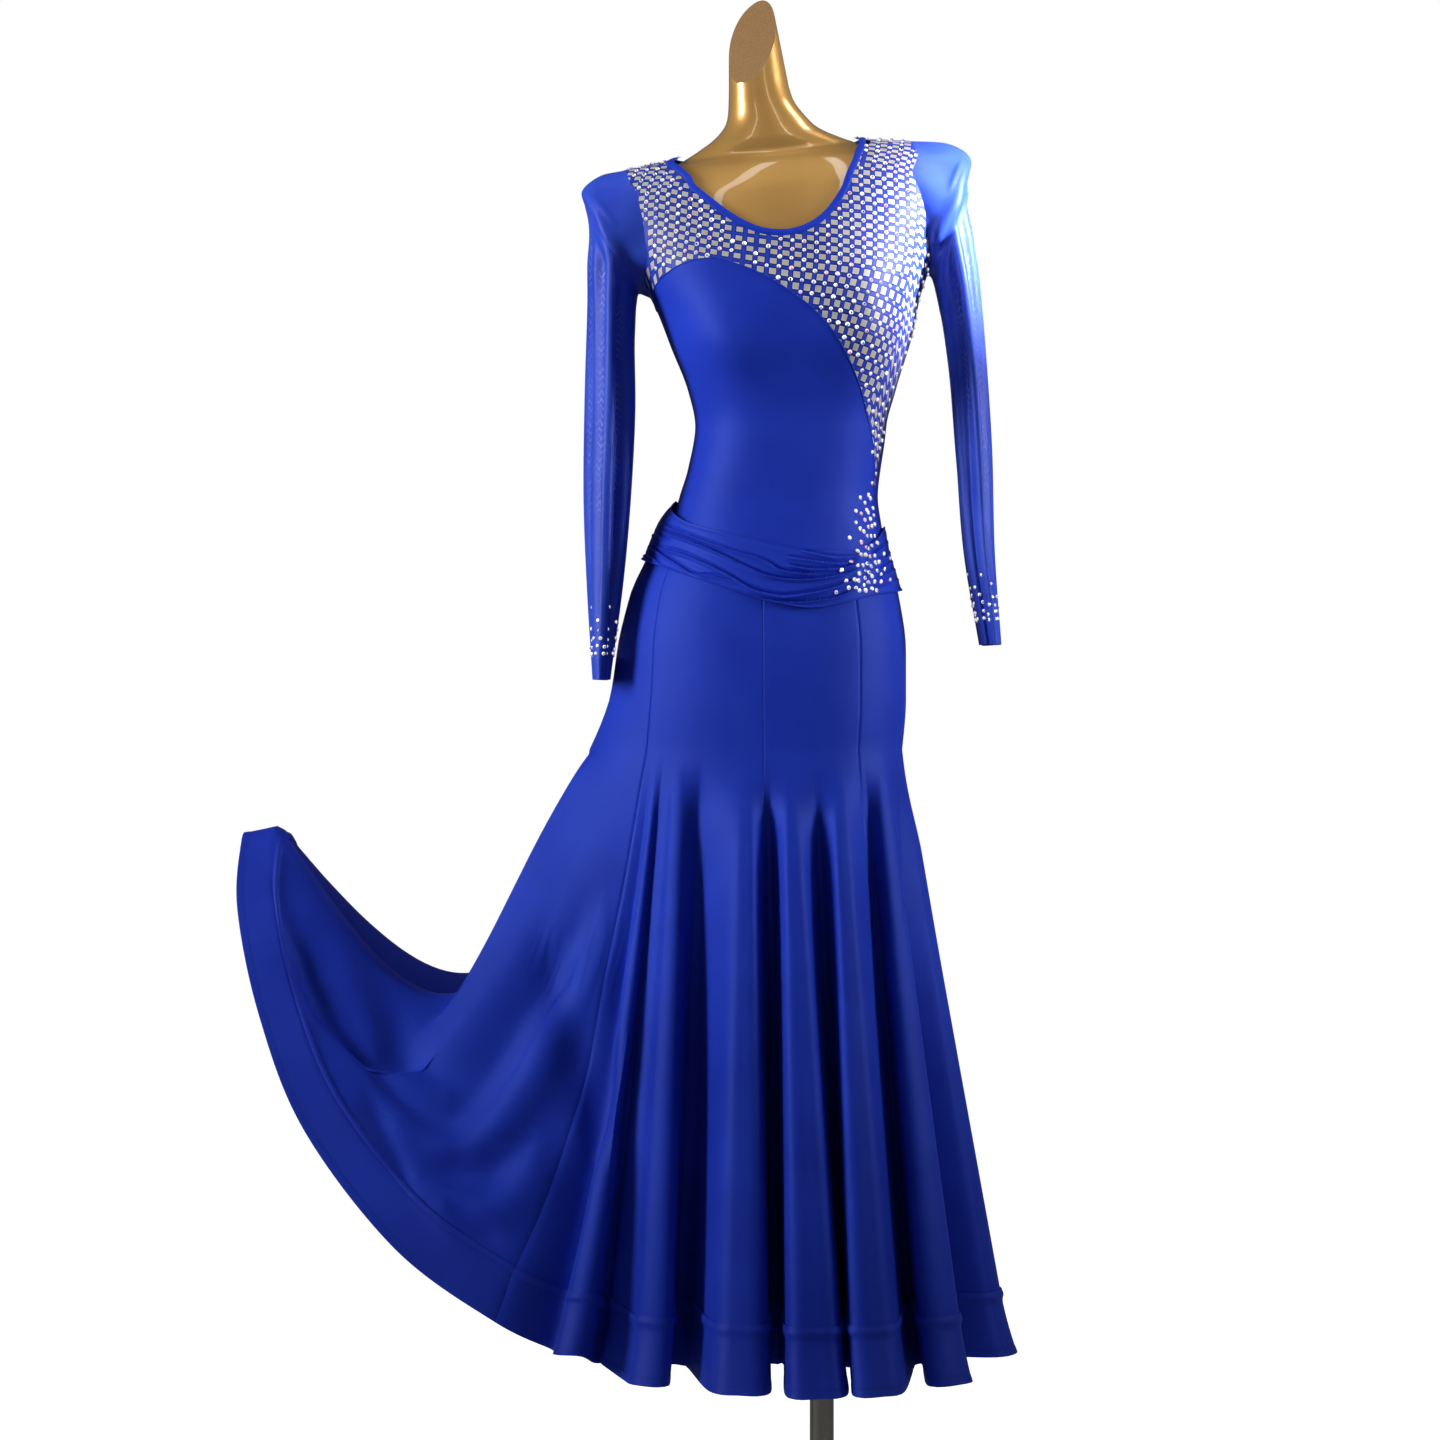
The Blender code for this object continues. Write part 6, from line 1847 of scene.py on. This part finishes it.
            band, along = self.surface(number, 1.0 - HEM_BAND + below)
            flare = self.outward(self.hem_at(along)) * HEM_FLARE * ((below / HEM_BAND) ** 2)[..., None]
            over = (CLOTH + 0.4 * MM) * (1 - eased((below - 0.002) / 0.008))
            band = band + flare + grid_normals(band) * over[..., None]
            ridge = bell((below - BAND_RIDGE) / BAND_RIDGE) + 0.35 * eased((below - 0.088) / 0.008)
            wall = (BAND_WALL_MM[0] + BAND_WALL_MM[1] * ridge)[..., None] * MM
            panel = Panel(f"band_{number + 1}", band, band + grid_normals(band) * wall, metres(band))
            settle(panel.build(Finish.BAND), [f"hem_band_{number + 1}"])


# ---- stones over the hip
HIP_STONES = (  # x and z in the front view, in millimetres
    (56, 1146), (56, 1142), (43, 1130), (52, 1133), (54, 1129), (59, 1131), (63, 1130), (48, 1124), (60, 1120),
    (57, 1118), (38, 1115), (44, 1112), (50, 1116), (52, 1113), (58, 1110), (62, 1111), (54, 1106), (48, 1105),
    (38, 1102), (59, 1100), (52, 1097), (56, 1098), (65, 1098), (43, 1095), (47, 1092), (31, 1085), (51, 1087),
    (55, 1087), (59, 1087), (44, 1080), (62, 1079), (50, 1074), (56, 1076), (52, 1073), (40, 1070), (44, 1066),
    (49, 1066), (54, 1064), (59, 1065), (69, 1067), (76, 1062), (33, 1058), (40, 1054), (46, 1054), (51, 1056),
    (55, 1053), (60, 1057), (64, 1058), (22, 1049), (42, 1045), (49, 1048), (53, 1046), (56, 1042), (62, 1048),
    (70, 1050), (66, 1044), (27, 1037), (37, 1038), (41, 1037), (48, 1040), (52, 1035), (59, 1036), (66, 1036),
    (76, 1038), (30, 1029), (38, 1029), (47, 1032), (56, 1028), (42, 1026), (49, 1026), (61, 1026), (16, 1024),
    (34, 1020),
)


def hip_stones(beds: Sequence[StoneBed]) -> None:
    """Stones over the sash's gather: each sits on the first bed that lies behind it in the front view."""
    targets = np.array(HIP_STONES) * MM
    random = np.random.default_rng(SEED + 11)
    for number, bed in enumerate(beds):
        on_bed = np.array([((bed.places.reshape(-1, 2) - t) ** 2).sum(axis=1).min() for t in targets]) < (2 * MM) ** 2
        if on_bed.any():
            stones = Stones(f"hip_stones_{number + 1}", 2.7 * MM, 1.9 * MM, SEED + number)
            settle(stones.on(bed, targets[on_bed], 1.0 * MM, random.uniform(0.9, 1.08, int(on_bed.sum()))))
            targets = targets[~on_bed]


# ---- form and stand
@dataclass
class DressForm:
    """The limbless form: the body drawn in under the cloth, closed below, with a slanted cut at the neck."""

    body: Body
    columns: int = 168
    rows: int = 170
    neck_rows: int = 8
    face: tuple[float, ...] = (0.02, 0.06, 0.5)  # shares of the way in from the cut's rim

    def build(self) -> None:
        """Rings from the foot up, the neck tapering towards its upright edge up to the slanted cut."""
        body = self.body
        climbs = np.linspace(body.climb_at(FORM_FOOT_Z + FOOT_ROUND), body.climbs[-1], self.rows + 1)[:, None]
        bearing = (np.arange(self.columns) * 360.0 / self.columns)[None, :]
        gap = at_level(FORM_GAPS, body.value("z", climbs))[..., None]
        skin = body.point(bearing, climbs) - body.normal(bearing, climbs) * gap
        middle = skin[:1].mean(axis=1, keepdims=True)
        round_foot = np.radians(np.linspace(90.0, 20.0, 6))[:, None, None]
        foot = middle + (skin[:1] - middle) * (0.92 + 0.08 * np.cos(round_foot))
        foot[..., 2:] = FORM_FOOT_Z + FOOT_ROUND * (1 - np.sin(round_foot))
        neck, cut = skin[-1:], skin[-1:].copy()
        edge = np.array(NECK_EDGE)
        for _ in range(8):
            rise = (cut[..., :2] * np.array(NECK_CUT_RISE)).sum(axis=-1)
            cut[..., 2] = NECK_CUT_LOW + rise - rise.min()
            cut[..., :2] = edge + (neck[..., :2] - edge) * (1.0 - NECK_TAPER * (cut[..., 2:] - neck[..., 2:]))
        share = np.linspace(0.0, 1.0, self.neck_rows + 1)[1:, None, None]
        centre = cut.mean(axis=1, keepdims=True)
        face = cut + (centre - cut) * np.array(self.face)[:, None, None]
        rings = np.concatenate([foot, skin, neck + (cut - neck) * share, face])
        count = rings.shape[0]
        index = ring_numbers(count, self.columns)
        faces = quads(index).tolist() + [index[0, -2::-1].tolist(), index[-1, :-1].tolist()]
        piece = add_mesh("form_skin", rings.reshape(-1, 3), faces, [Finish.GOLD, Finish.CUT], sharp=35.0)
        slots = np.zeros(len(faces), np.int32)
        slots[(count - 1 - len(self.face)) * self.columns : (count - 1) * self.columns] = 1
        slots[-1] = 1
        piece.data.polygons.foreach_set("material_index", slots)
        settle(piece, ["form_torso"])


@dataclass
class Stand:
    """The steel pole in its collar on a round base."""

    steps: int = 96

    def turned(self, name: str, profile: Sequence[tuple[float, float]], replaced: str) -> None:
        """A closed profile of (radius, height) carried round the axis: x = r cos a, y = r sin a."""
        run = np.array(profile)
        angle = np.linspace(0.0, 2 * np.pi, self.steps, endpoint=False)[None, :]
        radius, height = run[:, :1], run[:, 1:]
        points = np.stack([radius * np.cos(angle), radius * np.sin(angle), height + 0 * angle], axis=-1)
        index = ring_numbers(len(run), self.steps)
        along = lengths(run)
        u = np.linspace(0.0, 1.0, self.steps + 1)[None, :] + 0 * along[:, None]
        place = np.stack([u, along[:, None] + 0 * u], axis=-1)
        corner = quads(np.arange(len(run) * (self.steps + 1)).reshape(len(run), self.steps + 1))
        faces = quads(index).tolist() + [index[0, -2::-1].tolist(), index[-1, :-1].tolist()]
        ends = np.vstack([place[0, -2::-1], place[-1, :-1]])
        uv = np.vstack([place.reshape(-1, 2)[corner.ravel()], ends])
        settle(add_mesh(name, points.reshape(-1, 3), faces, [Finish.STEEL], uv, 30.0), [replaced])

    def build(self) -> None:
        """The pole with softened ends, and the base with its collar and stepped rim."""
        pole, rim, collar = POLE_RADIUS, BASE_RADIUS, COLLAR_RADIUS
        foot, top, bore = BASE_THICK + COLLAR_HEIGHT * 0.4, FORM_FOOT_Z - SEAM_GAP, POLE_RADIUS + SEAM_GAP
        thick, lip = BASE_THICK, BASE_THICK + COLLAR_HEIGHT
        tube_profile = ((pole - MM, foot), (pole, foot + MM), (pole, top - MM), (pole - MM, top))
        self.turned("pole_tube", tube_profile, "stand_pole")
        self.turned(
            "base_disc",
            (
                (rim - 0.002, 0.0), (rim, 0.003), (rim - 0.0006, thick - 0.0095), (rim - 0.002, thick - 0.008),
                (rim - 0.012, thick - 0.004), (collar + 0.006, thick), (collar + 0.002, thick + 0.0012),
                (collar, thick + 0.004), (collar, lip - 0.003), (collar - 0.001, lip - 0.0009), (collar - 0.003, lip),
                (bore + 0.0006, lip), (bore, lip - 0.0006), (bore, foot - SEAM_GAP),
            ),
            "stand_base",
        )


# ---- studio
class Softbox(NamedTuple):
    """A soft rectangular light: its place, what it points at, its size, its power and its spread in degrees."""

    name: str
    at: tuple[float, float, float]
    towards: tuple[float, float, float]
    size: tuple[float, float]
    watts: float
    spread: float


@dataclass
class Studio:
    """A plain pale floor, a white surround, softboxes at both sides and above, and the camera."""

    camera_at: tuple[float, float, float] = (VIEW_POINT[0], -VIEW_DISTANCE, VIEW_POINT[1])
    lens: float = 89.286
    surround: float = 0.08
    surround_tint: Colour = (0.95, 0.97, 1.0)
    floor_half: float = 3.0
    boxes: tuple[Softbox, ...] = table(
        Softbox,
        ("left_box", (-2.4, -0.9, 1.75), (-0.1, 0.0, 1.3), (0.6, 1.7), 10.0, 60.0),
        ("right_box", (2.3, -0.6, 1.85), (0.0, 0.0, 1.5), (0.6, 1.6), 5.6, 42.0),
        ("top_right_box", (1.1, 0.1, 3.0), (0.05, 0.0, 1.45), (0.7, 0.7), 2.5, 90.0),
        ("cap_box", (1.9, -0.9, 2.3), (0.195, -0.03, 1.44), (0.06, 0.06), 0.85, 7.0),
        ("right_strip", (0.35, -1.2, 3.2), (-0.02, 0.0, 1.48), (0.08, 2.2), 3.0, 180.0),
        ("left_strip", (-0.52, -1.2, 3.2), (-0.08, 0.0, 1.48), (0.08, 2.2), 2.6, 180.0),
    )

    def build(self) -> None:
        """Camera first, then the lights, the surround and the floor."""
        scene = bpy.context.scene
        scene.view_settings.view_transform = "Standard"
        camera = bpy.data.objects.new("camera", bpy.data.cameras.new("camera"))
        camera.location = self.camera_at
        camera.rotation_euler = (np.pi / 2, 0.0, 0.0)
        camera.data.lens, camera.data.sensor_width = self.lens, 36.0
        scene.collection.objects.link(camera)
        scene.camera = camera
        for box in self.boxes:
            light = bpy.data.lights.new(box.name, "AREA")
            light.shape, light.size, light.size_y, light.energy = "RECTANGLE", *box.size, box.watts
            light.spread = np.radians(box.spread)
            lamp = bpy.data.objects.new(box.name, light)
            from_box = np.array(box.towards) - np.array(box.at)
            lamp.location = box.at
            lamp.rotation_euler = (
                np.arctan2(np.hypot(*from_box[:2]), -from_box[2]),
                0.0,
                np.arctan2(from_box[1], from_box[0]) - np.pi / 2,
            )
            scene.collection.objects.link(lamp)
        self.world()
        self.floor()

    def world(self) -> None:
        """White behind the object, and a dimmer light all round."""
        world = bpy.data.worlds.new("studio")
        world.use_nodes = True
        tree = world.node_tree
        sky = tree.nodes["Background"]
        path = tree.nodes.new("ShaderNodeLightPath")
        behind = tree.nodes.new("ShaderNodeBackground")
        behind.inputs["Color"].default_value = (1.0, 1.0, 1.0, 1.0)
        sky.inputs["Color"].default_value = (*self.surround_tint, 1.0)
        sky.inputs["Strength"].default_value = self.surround
        mix = tree.nodes.new("ShaderNodeMixShader")
        for output, socket in zip((path.outputs["Is Camera Ray"], sky.outputs[0], behind.outputs[0]), mix.inputs):
            tree.links.new(output, socket)
        tree.links.new(mix.outputs[0], tree.nodes["World Output"].inputs[0])
        bpy.context.scene.world = world

    def floor(self) -> None:
        """A pale floor: a flat square, 6 m on a side."""
        g = Graph("pale_floor")
        grain = g.noise(40.0, 3.0)
        directly = g.node("ShaderNodeLightPath", output="Is Camera Ray")
        material = g.dress(
            Base_Color=g.mix(grain, (0.86, 0.86, 0.86), (0.9, 0.9, 0.9)),
            Roughness=0.6 + 0.1 * grain,
            Emission_Color=g.mix(directly, (0.0, 0.0, 0.0), (0.95, 0.95, 0.95)),
            Emission_Strength=1.0,
        )
        mesh = bpy.data.meshes.new("floor")
        side = np.linspace(-self.floor_half, self.floor_half, 5)
        x, y = np.meshgrid(side, side)
        points = np.stack([x, y, 0 * x], axis=-1).reshape(-1, 3)
        mesh.from_pydata(points.tolist(), [], quads(np.arange(25).reshape(5, 5)).tolist())
        mesh.materials.append(material)
        floor = bpy.data.objects.new("floor", mesh)
        bpy.context.scene.collection.objects.link(floor)


SLEEVE_FOLDS_LEFT = table(
    SleeveFold,
    (57, 60, 0.36, 1.1, 9, 3.5 * MM), (78, 84, 0.36, 1.05, 11, -4.5 * MM), (112, 108, 0.38, 1.1, 12, 4 * MM),
    (141, 136, 0.4, 0.95, 11, -4.5 * MM), (230, 240, 0.35, 1.1, 14, -3.5 * MM), (290, 285, 0.4, 1.1, 14, 3.5 * MM),
)
SLEEVE_FOLDS_RIGHT = table(
    SleeveFold,
    (48, 44, 0.28, 1.05, 9, -4.5 * MM), (63, 62, 0.26, 1.1, 8, 4 * MM), (84, 80, 0.3, 1, 10, -4 * MM),
    (112, 100, 0.34, 0.9, 10, 4 * MM), (136, 128, 0.38, 0.85, 11, -4 * MM), (235, 245, 0.34, 1.1, 14, -3.5 * MM),
    (295, 280, 0.4, 1.1, 14, 3.5 * MM),
)
# where each sleeve's pale moire light is painted; the last column is the strength of the painted light, not a height
PAINTED_MOIRE_LEFT = table(
    SleeveFold,
    (34, 32, 0.36, 0.92, 7, 0.55), (78, 84, 0.38, 0.9, 12, 1), (141, 136, 0.45, 0.9, 10, 0.55),
)
PAINTED_MOIRE_RIGHT = table(
    SleeveFold,
    (48, 44, 0.3, 0.9, 6, 0.7), (84, 80, 0.34, 0.9, 10, 0.9), (136, 128, 0.42, 0.85, 10, 0.6),
)


def main() -> None:
    """Builds the studio and every sub-assembly, in order."""
    logging.basicConfig(level=logging.INFO, format="%(name)s: %(message)s", stream=sys.stdout)
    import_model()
    Studio().build()
    body = Body(BODY, BUSTS)
    seams = Seams(body)
    beds = Bodice(body, seams).build()
    left, right = (seams.armhole_left, seams.back_armhole_left), (seams.armhole_right, seams.back_armhole_right)
    Sleeve(body, "sleeve_left", SLEEVE_LEFT, *left, SLEEVE_FOLDS_LEFT, PAINTED_MOIRE_LEFT).build(SLEEVE_CUT)
    Sleeve(body, "sleeve_right", SLEEVE_RIGHT, *right, SLEEVE_FOLDS_RIGHT, PAINTED_MOIRE_RIGHT).build(SLEEVE_CUT)
    sash_beds = Sash(body).build()
    Skirt(body).build()
    hip_stones([*sash_beds, *beds])
    DressForm(body).build()
    Stand().build()


if __name__ == "__main__":
    main()
